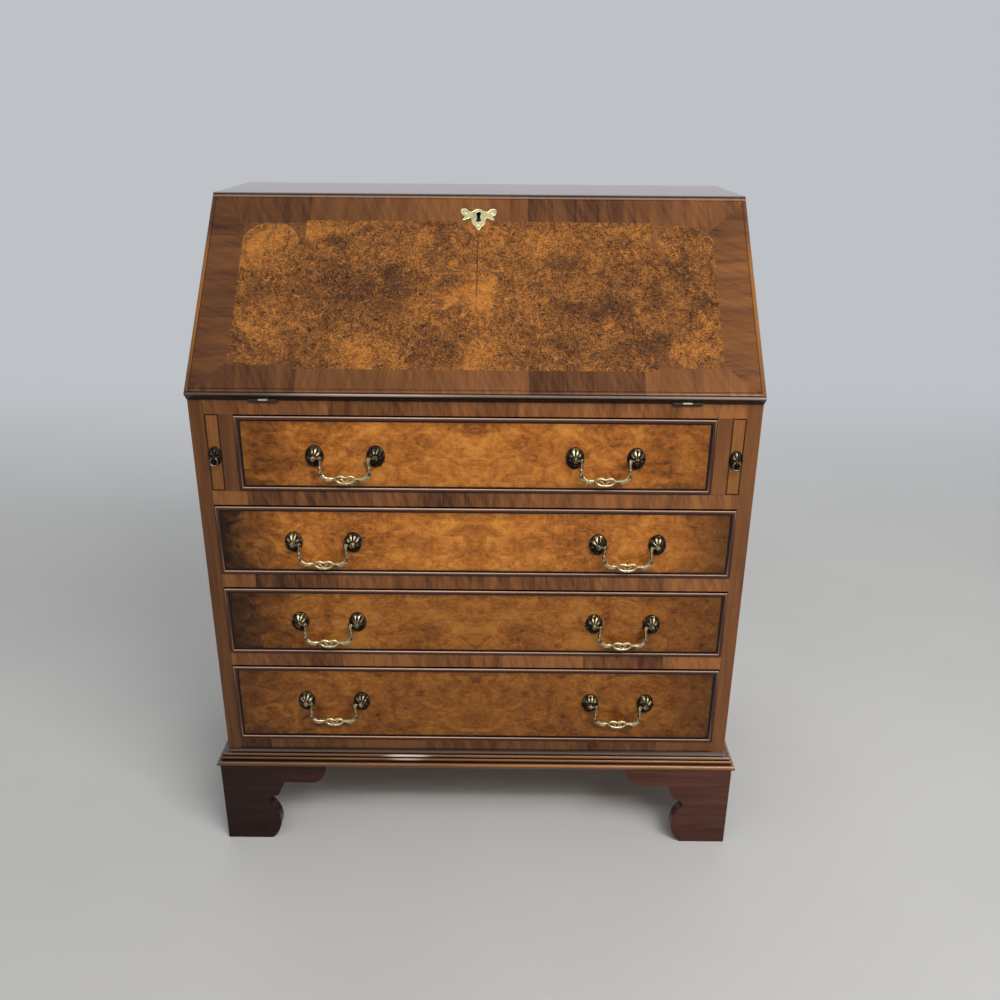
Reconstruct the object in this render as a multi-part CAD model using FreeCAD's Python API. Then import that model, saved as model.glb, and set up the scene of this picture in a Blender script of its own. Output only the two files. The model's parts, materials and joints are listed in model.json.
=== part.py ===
import FreeCAD, Part
import math
import os

# Writing bureau with a sloping fall, four long drawers and bracket feet.
# Lengths are in millimetres. X runs to the sitter's right, Y to the back and Z up.
# The shapes are laid out with the front of the carcass at y = 0, and are moved once,
# when they are written, so that the origin is on the floor at the middle of the plan.

# Carcass
carcass_width = 762.0
carcass_depth = 420.0
side_thickness = 20.0
top_thickness = 18.0
bottom_thickness = 18.0
back_thickness = 8.0
back_rebate_width = 10.0
rail_thickness = 21.5
rail_depth = 60.0
bottom_rail_height = 43.0
bottom_rail_depth = 22.0
writing_board_thickness = 20.0
desk_height = 245.0
opening_heights = (109.0, 106.0, 108.0, 129.5)
runner_width = 26.0
partition_thickness = 20.0
partition_back_gap = 20.0

# Base moulding, its reeds and its torus
foot_height = 139.0
base_moulding_height = 24.0
base_overhang = 16.3
torus_radius = 4.25
base_fillet_overhang = 11.0
base_fillet_height = 1.0
reed_radius = 2.7
lower_reed_overhang = 11.0
upper_reed_overhang = 9.0
base_cap_overhang = 4.0

# Bracket feet, sawn to a scroll
foot_overhang = 12.2
bracket_thickness = 18.0
bracket_length = 162.0
foot_width = 70.0
lobe_height = 68.0
lobe_bulge = 15.5
cove_radius = 14.5
scroll_shelf_height = 108.0
scroll_shelf_start = 97.0
scroll_shelf_end = 143.0
scroll_end_radius_share = 0.68
back_bracket_length = 115.0
back_bracket_toe = 62.0
back_bracket_bulge_share = 0.25
block_width = 30.0
block_lift = 2.0

# Lopers, the slides that carry the open fall
loper_thickness = 17.5
loper_back_gap = 27.0
loper_side_gap = 0.5
loper_seat_gap = 0.3
loper_top_gap = 0.5

# Fall, in the plane that slopes up and back from the hinge axis
fall_angle = 46.0
fall_thickness = 20.0
fall_lip_thickness = 8.0
fall_seat_gap = 0.3
fall_side_gap = 1.5
fall_top_gap = 1.5
fall_front_gap = 0.5
hinge_setback = 1.2
fall_moulding_width = 7.0
fall_moulding_step = 1.2
fall_moulding_radius = 5.0
leather_end_margin = 40.0
leather_margin = 30.0
leather_lock_gap = 7.0
leather_thickness = 1.2
leather_gap = 0.5

# Back-flap hinges
hinge_length = 38.0
hinge_centre = 280.0
hinge_barrels = 3
barrel_sides = 10
hinge_leaf_width = 30.0
hinge_leaf_thickness = 1.6
knuckle_radius = 3.0
knuckle_clearance = 0.3
knuckle_end_gap = 0.2
hinge_pin_radius = 1.2
pin_clearance = 0.05

# Fall lock, its bolt and its keeper
lock_case_width = 64.0
lock_case_height = 40.0
lock_case_depth = 11.0
lock_fit = 0.3
bolt_width = 24.0
bolt_thickness = 5.0
bolt_inset = 3.0
bolt_retreat = 0.5
bolt_length = 17.0
bolt_throw = 16.0
keeper_width = 44.0
keeper_depth = 20.0
keeper_thickness = 1.6
keeper_setback = 2.0
keyhole_radius = 3.0
keyhole_sides = 12
keyhole_slot_width = 3.6
keyhole_slot_length = 11.5
keyhole_drop = 15.2

# Escutcheon over the keyhole
escutcheon_width = 51.0
escutcheon_height = 36.8
escutcheon_thickness = 1.2
escutcheon_rise_share = 0.26
# Right half from the foot up: shares of half the width and of the height
escutcheon_outline_shares = (
    (0.157, 0.166), (0.318, 0.302), (0.37, 0.47), (0.42, 0.592), (0.573, 0.552), (0.882, 0.473),
    (0.749, 0.66), (0.878, 0.726), (1.0, 0.894), (0.93, 0.97), (0.788, 0.992), (0.604, 0.932),
    (0.498, 0.84), (0.357, 0.861), (0.2, 0.932), (0.0, 0.973),
)

# Drawers
drawer_gap = 1.0
drawer_top_gap = 1.8
front_thickness = 19.0
bead_width = 6.5
bead_round_width = 4.2
bead_proud = 3.2
bead_shoulder = 1.8
bead_step_proud = 0.5
bead_rebate_depth = 12.0
half_round_facets = 6
drawer_side_thickness = 11.5
drawer_back_thickness = 9.0
drawer_bottom_thickness = 5.0
drawer_bottom_lift = 6.0
drawer_groove_depth = 5.0
drawer_back_gap = 29.0
drawer_seat_gap = 0.3
drawer_top_drop = 2.2
drawer_back_drop = 8.0
dovetail_count = 3
dovetail_length = 5.5
dovetail_root_share = 0.3
dovetail_end_share = 0.42

# Drawer handles, each a swan-neck bail between two rosettes
handle_centre_narrow = 176.0
handle_centre_wide = 213.0
handle_rises = (-3.0, -2.0, -0.5, 4.0)
post_spacing = 83.0
rosette_width = 25.0
rosette_height = 30.0
rosette_sides = 10
rosette_projection = 9.6
rosette_profile_shares = ((0.0, 1.0), (0.2, 1.0), (0.68, 0.74), (1.0, 0.36))
post_projection = 14.6
post_radius = 4.2
post_sides = 6
post_profile_shares = ((0.42, 0.62), (0.6, 0.72), (0.76, 1.0), (1.0, 0.4))
pivot_projection = 11.0
pintle_radius = 1.6
pintle_overrun = 1.5
bail_drop = 31.5
bail_radius = 2.2
bail_sides = 6
# Each row is a share of half the post spacing, of the drop and of the bail's radius
bail_path_shares = (
    (0.745, -0.06, 1.2), (0.755, 0.18, 0.9), (0.785, 0.5, 0.9), (0.775, 0.79, 1.15),
    (0.69, 0.96, 1.35), (0.5, 0.98, 1.35), (0.31, 0.95, 0.75),
)
ornament_width = 26.0
ornament_height = 13.0
ornament_thickness = 3.0
ornament_rim = 2.2
ornament_bar = 3.4
ornament_sides = 10

# Small pins and their holes have this many flats
pin_sides = 8
plain_profile_shares = ((0.0, 1.0), (1.0, 1.0))

# Loper pulls, a rosette with a hanging ring
loper_rosette_width = 17.5
loper_rosette_height = 26.0
loper_rosette_projection = 7.0
loper_post_radius = 3.2
loper_post_projection = 11.2
loper_pivot_projection = 8.6
loper_pull_drop = 4.5
loper_pin_radius = 1.2
loper_ring_radius = 6.5
loper_ring_drop = 17.0
loper_ring_section = 1.3
loper_ring_sides = 6
loper_ring_steps = 8

# Gallery of small drawers and pigeonholes inside the desk
gallery_board = 6.0
gallery_divider = 5.0
gallery_fall_gap = 4.0
gallery_centre_half_width = 117.0
gallery_shelf_height = 57.0
pigeonhole_count = 3
small_drawer_gap = 0.6
small_drawer_front = 8.0
small_drawer_side = 5.0
small_drawer_bottom = 4.0
small_drawer_back_gap = 15.0
small_drawer_back_drop = 4.0
knob_radius = 6.0
knob_length = 13.0
knob_sides = 10
knob_profile_shares = (
    (0.0, 0.62), (0.12, 0.62), (0.22, 0.36), (0.45, 0.36), (0.68, 1.0), (0.88, 0.86), (1.0, 0.4),
)

# One overrun serves every cut
overrun = 5.0

# Heights worked out from the sizes above
half_width = carcass_width / 2
inner_half = half_width - side_thickness
opening_floor = foot_height + bottom_rail_height
hinge_z = opening_floor + sum(opening_heights) + rail_thickness * (len(opening_heights) - 1)
hinge_z += writing_board_thickness
board_bottom = hinge_z - writing_board_thickness
total_height = hinge_z + desk_height
top_bottom = total_height - top_thickness
back_face = carcass_depth - back_thickness
partition_depth = back_face - partition_back_gap
loper_length = back_face - loper_back_gap
drawer_length = back_face - drawer_back_gap
slot_width = loper_thickness + 2 * loper_side_gap
slot_inner = inner_half - slot_width
partition_inner = slot_inner - partition_thickness
origin_shift = (base_overhang - carcass_depth) / 2

# Places on the sloping plane, s up the slope and t square to it
slope = math.radians(fall_angle)
hinge_y = -hinge_setback
fall_core_thickness = fall_thickness - fall_lip_thickness
seat_depth = fall_core_thickness - fall_seat_gap
core_half = inner_half - fall_side_gap


def slope_length_at_height(z, t):
    """Distance up the slope at which the plane of depth t reaches the height z."""
    return (z - hinge_z - t * math.cos(slope)) / math.sin(slope)


def slope_y_at_height(z, t):
    """Place from front to back of the plane of depth t at the height z."""
    return hinge_y + slope_length_at_height(z, t) * math.cos(slope) - t * math.sin(slope)


def slope_z_at_y(y, t):
    """Height of the plane of depth t at the place y."""
    return hinge_z + (y - hinge_y + t * math.sin(slope)) * math.tan(slope) + t * math.cos(slope)


core_end = slope_length_at_height(top_bottom - fall_top_gap, fall_core_thickness)
gallery_front = slope_y_at_height(top_bottom, 0.0) + gallery_fall_gap
lock_bottom = core_end - lock_case_height
keyhole_s = core_end - keyhole_drop


def drawer_openings():
    """Bottom, top and half width of each long drawer's opening, the top one first."""
    openings = []
    top = board_bottom
    for height in opening_heights:
        half = partition_inner if not openings else inner_half
        openings.append((top - height, top, half))
        top -= height + rail_thickness
    return openings


front_axis = FreeCAD.Vector(0, -1, 0)
back_axis = FreeCAD.Vector(0, 1, 0)
right_axis = FreeCAD.Vector(1, 0, 0)
up_axis = FreeCAD.Vector(0, 0, 1)


# Shapes
def box(x_range, y_range, z_range):
    """Box between two places on each axis."""
    low = FreeCAD.Vector(x_range[0], y_range[0], z_range[0])
    return Part.makeBox(x_range[1] - x_range[0], y_range[1] - y_range[0], z_range[1] - z_range[0], low)


def mirrored_range(half):
    """Range that lies evenly about zero."""
    return (-half, half)


def face_from(place, start, steps):
    """Face inside an outline. A step is an end point, or a pair of points for an arc."""
    edges = []
    here = start
    closing = [] if steps[-1][-1] == start else [start]
    for step in list(steps) + closing:
        if isinstance(step[0], tuple):
            through, end = step
            edges.append(Part.Arc(place(*here), place(*through), place(*end)).toShape())
        else:
            end = step
            edges.append(Part.LineSegment(place(*here), place(*end)).toShape())
        here = end
    return Part.Face(Part.Wire(edges))


def prism_x(x_range, start, *steps):
    """Outline in y and z, drawn out along X."""
    face = face_from(lambda a, b: FreeCAD.Vector(x_range[0], a, b), start, steps)
    return face.extrude(FreeCAD.Vector(x_range[1] - x_range[0], 0, 0))


def prism_y(y_range, start, *steps):
    """Outline in x and z, drawn out along Y."""
    face = face_from(lambda a, b: FreeCAD.Vector(a, y_range[0], b), start, steps)
    return face.extrude(FreeCAD.Vector(0, y_range[1] - y_range[0], 0))


def prism_z(z_range, start, *steps):
    """Outline in x and y, drawn out along Z."""
    face = face_from(lambda a, b: FreeCAD.Vector(a, b, z_range[0]), start, steps)
    return face.extrude(FreeCAD.Vector(0, 0, z_range[1] - z_range[0]))


def rod_x(radius, x_range, y, z):
    """Round rod along X."""
    base = FreeCAD.Vector(x_range[0], y, z)
    return Part.makeCylinder(radius, x_range[1] - x_range[0], base, FreeCAD.Vector(1, 0, 0))


def mirror_x(shape):
    """The same shape on the other side of the middle plane."""
    return shape.mirror(FreeCAD.Vector(0, 0, 0), FreeCAD.Vector(1, 0, 0))


def moved(shape, x=0.0, y=0.0, z=0.0):
    """Copy of a shape, shifted."""
    copy = shape.copy()
    copy.translate(FreeCAD.Vector(x, y, z))
    return copy


def to_slope(shape):
    """Turn a shape drawn in x, s and t on to the sloping plane."""
    copy = shape.copy()
    copy.rotate(FreeCAD.Vector(0, 0, 0), FreeCAD.Vector(1, 0, 0), fall_angle)
    copy.translate(FreeCAD.Vector(0, hinge_y, hinge_z))
    return copy


def ring_points(centre, across, up, radius_across, radius_up, sides):
    """Corners of a polygon about a centre, with flats on its axes."""
    points = []
    for step in range(sides):
        angle = math.pi * (2 * step + 1) / sides
        sideways = across * (radius_across * math.cos(angle))
        upward = up * (radius_up * math.sin(angle))
        points.append(centre + sideways + upward)
    return points


def flat_face(points):
    """Flat face inside a closed polygon."""
    return Part.Face(Part.makePolygon(points + points[:1]))


def skinned(rings, flat_bands):
    """Solid with flat facets between rings of equally many corners."""
    faces = [flat_face(rings[0]), flat_face(rings[-1])]
    for lower, upper in zip(rings, rings[1:]):
        for index, corner in enumerate(lower):
            after = (index + 1) % len(lower)
            if flat_bands:
                faces.append(flat_face([corner, lower[after], upper[after], upper[index]]))
            else:
                faces.append(flat_face([corner, lower[after], upper[after]]))
                faces.append(flat_face([corner, upper[after], upper[index]]))
    solid = Part.Solid(Part.Shell(faces))
    if solid.Volume < 0:
        solid.reverse()
    return solid


def turned(centre, axis, across, profile, radius_across, radius_up, length, sides):
    """Faceted turning: each row of the profile is a share of the length and of the radii."""
    up = axis.cross(across)
    rings = []
    for along_share, radius_share in profile:
        place = centre + axis * (length * along_share)
        wide = radius_across * radius_share
        tall = radius_up * radius_share
        rings.append(ring_points(place, across, up, wide, tall, sides))
    return skinned(rings, True)


def faceted_rod_x(radius, x_range, y, z, sides):
    """Rod along X with flat facets, its corners on the radius."""
    start = FreeCAD.Vector(x_range[0], y, z)
    length = x_range[1] - x_range[0]
    return turned(start, right_axis, back_axis, plain_profile_shares, radius, radius, length, sides)


def pin_x(radius, x_range, y, z):
    """Small pin along X."""
    return faceted_rod_x(radius, x_range, y, z, pin_sides)


def pin_hole_x(radius, x_range, y, z):
    """Hole along X that a pin of the radius turns in, its flats clear of the pin."""
    clear = (radius + pin_clearance) / math.cos(math.pi / pin_sides)
    return pin_x(clear, x_range, y, z)


def bent_rod(points, radii, depth_axis, sides):
    """Faceted rod through points in a plane square to the depth axis."""
    rings = []
    last = len(points) - 1
    for index, point in enumerate(points):
        before = points[max(index - 1, 0)]
        after = points[min(index + 1, last)]
        across = depth_axis.cross(after - before).normalize()
        rings.append(ring_points(point, across, depth_axis, radii[index], radii[index], sides))
    return skinned(rings, False)


# Carcass pieces
def side_panel():
    """Right side, cut to the slope in front and rebated for the back."""
    slope_start = slope_z_at_y(0.0, seat_depth)
    slope_end = slope_y_at_height(top_bottom, seat_depth)
    panel = prism_x(
        (inner_half, half_width),
        (0, foot_height), (carcass_depth, foot_height), (carcass_depth, top_bottom),
        (slope_end, top_bottom), (0, slope_start),
    )
    rebate = box(
        (inner_half - overrun, inner_half + back_rebate_width),
        (back_face, carcass_depth + overrun),
        (foot_height - overrun, top_bottom + overrun),
    )
    return panel.cut(rebate)


def bolt_pocket():
    """Room for the thrown bolt, in the slope's own directions."""
    return to_slope(box(
        mirrored_range(bolt_width / 2 + lock_fit),
        (core_end - bolt_retreat, core_end + bolt_throw + 2 * lock_fit),
        (bolt_inset - lock_fit, bolt_inset + bolt_thickness + lock_fit),
    ))


def keeper_plate():
    """Plate let into the underside of the top, in front of the mortise."""
    front = slope_y_at_height(top_bottom, seat_depth) + keeper_setback
    return box(
        mirrored_range(keeper_width / 2),
        (front, front + keeper_depth),
        (top_bottom, top_bottom + keeper_thickness),
    )


def top_board():
    """Top, bevelled in front under the lip of the fall, with the lock's mortise."""
    board = prism_x(
        mirrored_range(half_width),
        (slope_y_at_height(top_bottom, seat_depth), top_bottom), (carcass_depth, top_bottom),
        (carcass_depth, total_height), (slope_y_at_height(total_height, seat_depth), total_height),
    )
    return board.cut(keeper_plate()).cut(bolt_pocket())


def back_panel():
    """Back, held in the rebates of the sides."""
    half = inner_half + back_rebate_width
    return box(mirrored_range(half), (back_face, carcass_depth), (foot_height, top_bottom))


def bottom_board():
    """Board that closes the carcass below and carries the lowest drawer."""
    levels = (opening_floor - bottom_thickness, opening_floor)
    return box(mirrored_range(inner_half), (bottom_rail_depth, back_face), levels)


def writing_board():
    """Fixed writing surface, notched for the hinges."""
    board = box(mirrored_range(inner_half), (0, back_face), (board_bottom, hinge_z))
    for centre in (-hinge_centre, hinge_centre):
        board = board.cut(hinge_room(centre))
        board = board.cut(moved(leaf_blank(centre, False), y=hinge_y, z=hinge_z))
    return board


def rails():
    """Rails between the drawers and the deeper one under the lowest drawer."""
    pieces = [box(mirrored_range(inner_half), (0, bottom_rail_depth), (foot_height, opening_floor))]
    for bottom, top, half in drawer_openings()[:-1]:
        levels = (bottom - rail_thickness, bottom)
        pieces.append(box(mirrored_range(inner_half), (0, rail_depth), levels))
    return pieces


def partitions():
    """Uprights between the top drawer and the lopers."""
    bottom, top, half = drawer_openings()[0]
    piece = box((partition_inner, slot_inner), (0, partition_depth), (bottom, top))
    return [piece, mirror_x(piece)]


def runners():
    """Strips behind the rails that the drawers and the lopers slide on."""
    pieces = []
    for index, (bottom, top, half) in enumerate(drawer_openings()[:-1]):
        inner = partition_inner - runner_width if index == 0 else inner_half - runner_width
        piece = box((inner, inner_half), (rail_depth, back_face), (bottom - rail_thickness, bottom))
        pieces += [piece, mirror_x(piece)]
    return pieces


# Base
def half_round(start, bulge, end):
    """Steps of a half-round bead from one place to another, standing out to its bulge."""
    middle = ((start[0] + end[0]) / 2, (start[1] + end[1]) / 2)
    steps = []
    for step in range(1, half_round_facets + 1):
        angle = math.pi * step / half_round_facets
        steps.append(tuple(
            middle[k] + (start[k] - middle[k]) * math.cos(angle) + (bulge[k] - middle[k]) * math.sin(angle)
            for k in (0, 1)
        ))
    return steps


def base_profile(place, length_axis):
    """Moulding section: torus, fillet, two reeds and a small cap, standing on the foot."""
    level = foot_height
    torus_start = base_overhang - torus_radius
    torus_top = level + 2 * torus_radius
    fillet_top = torus_top + base_fillet_height
    lower_start = lower_reed_overhang - reed_radius
    lower_top = fillet_top + 2 * reed_radius
    upper_start = upper_reed_overhang - reed_radius
    upper_top = lower_top + 2 * reed_radius
    lower_middle = fillet_top + reed_radius
    upper_middle = lower_top + reed_radius
    steps = (
        (torus_start, level),
        ((base_overhang, level + torus_radius), (torus_start, torus_top)),
        (base_fillet_overhang, torus_top),
        (base_fillet_overhang, fillet_top),
        (lower_start, fillet_top),
        *half_round(
            (lower_start, fillet_top), (lower_reed_overhang, lower_middle), (lower_start, lower_top)
        ),
        (upper_start, lower_top),
        *half_round(
            (upper_start, lower_top), (upper_reed_overhang, upper_middle), (upper_start, upper_top)
        ),
        (base_cap_overhang, upper_top),
        (0, level + base_moulding_height),
    )
    return face_from(place, (0, level), steps).extrude(length_axis)


def base_moulding():
    """Three lengths of moulding, mitred at the front corners."""
    reach = half_width + base_overhang
    level = (foot_height - overrun, foot_height + base_moulding_height + overrun)
    front = base_profile(
        lambda out, z: FreeCAD.Vector(-reach, -out, z), FreeCAD.Vector(2 * reach, 0, 0)
    )
    corner = (reach, -base_overhang)
    mitre = prism_z(level, (-half_width, 0), (-corner[0], corner[1]), corner, (half_width, 0))
    side = base_profile(
        lambda out, z: FreeCAD.Vector(half_width + out, -base_overhang, z),
        FreeCAD.Vector(0, carcass_depth + base_overhang, 0),
    )
    side_mitre = prism_z(
        level, (half_width, 0), corner, (reach, carcass_depth), (half_width, carcass_depth)
    )
    side = side.common(side_mitre)
    return [front.common(mitre), side, mirror_x(side)]


def scroll_steps(sign, outer):
    """Bracket outline from its outer top corner, measured inward from the outer edge."""
    def at(inward, z):
        return (outer - sign * inward, z)
    lobe_middle = lobe_height / 2
    cove_middle = cove_radius * math.sin(math.pi / 4)
    cusp = foot_width
    cove_end = cusp + cove_radius
    cove_top = lobe_height + cove_radius
    shelf = scroll_shelf_height
    end_radius_in = bracket_length - scroll_shelf_end
    end_radius_up = foot_height - shelf
    return at(0, foot_height), (
        at(0, 0), at(foot_width, 0),
        (at(foot_width + lobe_bulge, lobe_middle), at(cusp, lobe_height)),
        (at(cove_end - cove_middle, lobe_height + cove_middle), at(cove_end, cove_top)),
        at(scroll_shelf_start, shelf),
        at(scroll_shelf_end, shelf),
        (
            at(
                scroll_shelf_end + end_radius_in * scroll_end_radius_share,
                shelf + end_radius_up * (1 - scroll_end_radius_share),
            ),
            at(bracket_length, foot_height),
        ),
    )


def front_bracket():
    """Scrolled bracket that faces the front at the right corner, mitred at its outer end."""
    outer = half_width + foot_overhang
    inner = outer - bracket_thickness
    back = bracket_thickness - foot_overhang
    start, steps = scroll_steps(1, outer)
    piece = prism_y((-foot_overhang, back), start, *steps)
    levels = (-overrun, foot_height + overrun)
    waste = prism_z(levels, (outer, -foot_overhang), (outer + overrun, back), (inner, back))
    return piece.cut(waste)


def side_bracket(at_front):
    """Scrolled bracket on the right side, at the front or the back corner."""
    outer = half_width + foot_overhang
    inner = outer - bracket_thickness
    if not at_front:
        start, steps = scroll_steps(1, carcass_depth)
        return prism_x((inner, outer), start, *steps)
    start, steps = scroll_steps(-1, -foot_overhang)
    piece = prism_x((inner, outer), start, *steps)
    waste = prism_z(
        (-overrun, foot_height + overrun),
        (outer, -foot_overhang),
        (inner, bracket_thickness - foot_overhang),
        (inner, -foot_overhang - overrun),
    )
    return piece.cut(waste)


def back_bracket():
    """Plain bracket across the back of the right rear foot."""
    outer = half_width + foot_overhang - bracket_thickness
    toe = outer - back_bracket_toe
    end = outer - back_bracket_length
    middle = (toe + end) / 2
    return prism_y(
        (carcass_depth - bracket_thickness, carcass_depth),
        (outer, foot_height), (outer, 0), (toe, 0),
        ((middle + (toe - end) * back_bracket_bulge_share, foot_height / 2), (end, foot_height)),
    )


def foot_blocks():
    """Upright glue blocks in the corners of the feet."""
    outer = half_width + foot_overhang - bracket_thickness
    front = bracket_thickness - foot_overhang
    rear = carcass_depth - bracket_thickness
    pieces = []
    for y_range in ((front, front + block_width), (rear - block_width, rear)):
        piece = box((outer - block_width, outer), y_range, (block_lift, foot_height))
        pieces += [piece, mirror_x(piece)]
    return pieces


# Fall and its fittings, drawn flat in x, s and t
def fall_lip():
    """Outer leaf of the fall, full width, trimmed level with the top."""
    wedge_foot = fall_front_gap / math.cos(slope)
    wedge_top = (fall_front_gap + fall_core_thickness * math.sin(slope)) / math.cos(slope)
    inner_end = slope_length_at_height(total_height, fall_core_thickness)
    outer_end = slope_length_at_height(total_height, fall_thickness)
    lip = prism_x(
        mirrored_range(half_width),
        (0, 0), (wedge_foot, 0), (wedge_top, fall_core_thickness), (inner_end, fall_core_thickness),
        (outer_end, fall_thickness), (0, fall_thickness),
    )
    step = fall_thickness - fall_moulding_step
    step_range = (step, fall_thickness + overrun)
    border = half_width - fall_moulding_width
    for x_range in ((border, half_width + overrun), (-half_width - overrun, -border)):
        lip = lip.cut(box(x_range, (-overrun, inner_end + overrun), step_range))
    foot_range = (-overrun, fall_moulding_width)
    top_range = (outer_end - fall_moulding_width, inner_end + overrun)
    for s_range in (foot_range, top_range):
        lip = lip.cut(box(mirrored_range(half_width + overrun), s_range, step_range))
    rounded = [edge for edge in lip.Edges if is_lip_arris(edge, step)]
    return lip.makeFillet(fall_moulding_radius, rounded)


def is_lip_arris(edge, step):
    """True for the outer arrises of the moulded border: both ends, the foot and the top."""
    middle = edge.CenterOfMass
    at_step = abs(middle.z - step) < fall_seat_gap and edge.BoundBox.ZLength < fall_seat_gap
    at_end = abs(abs(middle.x) - half_width) < fall_seat_gap
    at_foot = abs(middle.y) < fall_seat_gap
    at_top = abs(middle.y - slope_length_at_height(total_height, step)) < fall_seat_gap
    return at_step and (at_end or at_foot or at_top)


def fall_panel():
    """Sloping fall: a core between the sides under a lipped outer leaf."""
    core = box(mirrored_range(core_half), (0, core_end), (0, fall_core_thickness))
    panel = core.fuse(fall_lip()).removeSplitter()
    panel = panel.cut(leather_blank(leather_gap))
    panel = panel.cut(lock_blank(lock_fit))
    panel = panel.cut(keyhole_blank((0, fall_thickness + overrun)))
    panel = to_slope(panel)
    for centre in (-hinge_centre, hinge_centre):
        panel = panel.cut(hinge_room(centre))
        panel = panel.cut(to_slope(leaf_blank(centre, True)))
    return panel


def leather_blank(gap):
    """Sheet let into the inner face, with a gap around its edge."""
    return box(
        mirrored_range(core_half - leather_end_margin + gap),
        (leather_margin - gap, lock_bottom - leather_lock_gap + gap),
        (0, leather_thickness),
    )


def lock_blank(fit):
    """Outer size of the lock case, let into the inner face at the top edge."""
    half = lock_case_width / 2 + fit
    return box(mirrored_range(half), (lock_bottom - fit, core_end), (0, lock_case_depth))


def lock_case():
    """Lock case with the channel of its bolt."""
    channel = box(
        mirrored_range(bolt_width / 2 + lock_fit),
        (core_end - bolt_retreat - bolt_length - lock_fit, core_end + overrun),
        (bolt_inset - lock_fit, bolt_inset + bolt_thickness + lock_fit),
    )
    keyhole = keyhole_blank((bolt_inset + bolt_thickness, fall_thickness))
    return to_slope(lock_blank(0.0).cut(channel).cut(keyhole))


def lock_bolt():
    """Bolt, drawn back below the edge of the fall."""
    top = core_end - bolt_retreat
    depth = (bolt_inset, bolt_inset + bolt_thickness)
    return to_slope(box(mirrored_range(bolt_width / 2), (top - bolt_length, top), depth))


def keyhole_blank(t_range):
    """Keyhole through the fall and its plate: a round eye over a slot."""
    base = FreeCAD.Vector(0, keyhole_s, t_range[0])
    eye = turned(
        base, up_axis, right_axis, plain_profile_shares,
        keyhole_radius, keyhole_radius, t_range[1] - t_range[0], keyhole_sides,
    )
    s_range = (keyhole_s - keyhole_slot_length, keyhole_s)
    return eye.fuse(box(mirrored_range(keyhole_slot_width / 2), s_range, t_range))


def escutcheon_point(share, side):
    """Place on the plate's outline, side being -1 or 1."""
    foot = keyhole_s - escutcheon_height * (1 - escutcheon_rise_share)
    return (side * escutcheon_width / 2 * share[0], foot + escutcheon_height * share[1])


def escutcheon():
    """Shield-shaped plate with two rounded ears, two lower barbs and a pointed foot."""
    foot = escutcheon_point((0.0, 0.0), 1)
    levels = (fall_thickness, fall_thickness + escutcheon_thickness)
    halves = [
        prism_z(levels, foot, *(escutcheon_point(share, side) for share in escutcheon_outline_shares))
        for side in (-1, 1)
    ]
    plate = halves[0].fuse(halves[1]).removeSplitter()
    return to_slope(plate.cut(keyhole_blank((fall_thickness - overrun, fall_thickness + overrun))))


# Hinges
def hinge_range(centre, half):
    """Range along X about the middle of one hinge."""
    return (centre - half, centre + half)


def barrel_ranges(centre):
    """Lengths of the outer pair of barrels and of the middle one."""
    half = hinge_length / 2
    middle = half / hinge_barrels
    outer = ((centre - half, centre - middle), (centre + middle, centre + half))
    return outer, (centre - middle + knuckle_end_gap, centre + middle - knuckle_end_gap)


def hinge_room(centre):
    """Room for the barrels in the writing board and in the fall."""
    reach = hinge_range(centre, hinge_length / 2 + knuckle_end_gap)
    return rod_x(knuckle_radius + knuckle_clearance, reach, hinge_y, hinge_z)


def leaf_blank(centre, above):
    """Leaf drawn flat in x, s and t, above or below the plane of the hinge axis."""
    levels = (0, hinge_leaf_thickness) if above else (-hinge_leaf_thickness, 0)
    return box(hinge_range(centre, hinge_length / 2), (0, hinge_leaf_width), levels)


def leaf_with_barrels(leaf, own_ranges, other_ranges):
    """Flat leaf with its own barrels, cut short of the barrels of the other leaf."""
    clear = knuckle_radius + knuckle_clearance
    levels = (-hinge_leaf_thickness - overrun, hinge_leaf_thickness + overrun)
    for x_range in other_ranges:
        reach = (x_range[0] - knuckle_end_gap, x_range[1] + knuckle_end_gap)
        leaf = leaf.cut(box(reach, (-overrun, clear), levels))
    for x_range in own_ranges:
        leaf = leaf.fuse(faceted_rod_x(knuckle_radius, x_range, 0, 0, barrel_sides))
    whole = (own_ranges[0][0] - overrun, own_ranges[-1][1] + overrun)
    return leaf.cut(pin_hole_x(hinge_pin_radius, whole, 0, 0)).removeSplitter()


def fixed_leaves():
    """Leaf and outer barrels of each hinge, on the writing board."""
    pieces = []
    for centre in (-hinge_centre, hinge_centre):
        outer, middle = barrel_ranges(centre)
        leaf = leaf_with_barrels(leaf_blank(centre, False), outer, (middle,))
        pieces.append(moved(leaf, y=hinge_y, z=hinge_z))
    return pieces


def fall_leaves():
    """Leaf and middle barrel of each hinge, on the fall."""
    pieces = []
    for centre in (-hinge_centre, hinge_centre):
        outer, middle = barrel_ranges(centre)
        pieces.append(to_slope(leaf_with_barrels(leaf_blank(centre, True), (middle,), outer)))
    return pieces


def hinge_pins():
    """Pin through each hinge."""
    return [
        pin_x(hinge_pin_radius, hinge_range(centre, hinge_length / 2), hinge_y, hinge_z)
        for centre in (-hinge_centre, hinge_centre)
    ]


# Lopers
def loper():
    """Right loper, standing in its slot beside the top drawer."""
    bottom, top, half = drawer_openings()[0]
    return box(
        (slot_inner + loper_side_gap, inner_half - loper_side_gap),
        (0, loper_length),
        (bottom + loper_seat_gap, top - loper_top_gap),
    )


def loper_pull_place():
    """Middle of the pull on the right loper's front face."""
    bottom, top, half = drawer_openings()[0]
    return FreeCAD.Vector(slot_inner + slot_width / 2, 0, (bottom + top) / 2 - loper_pull_drop)


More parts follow.
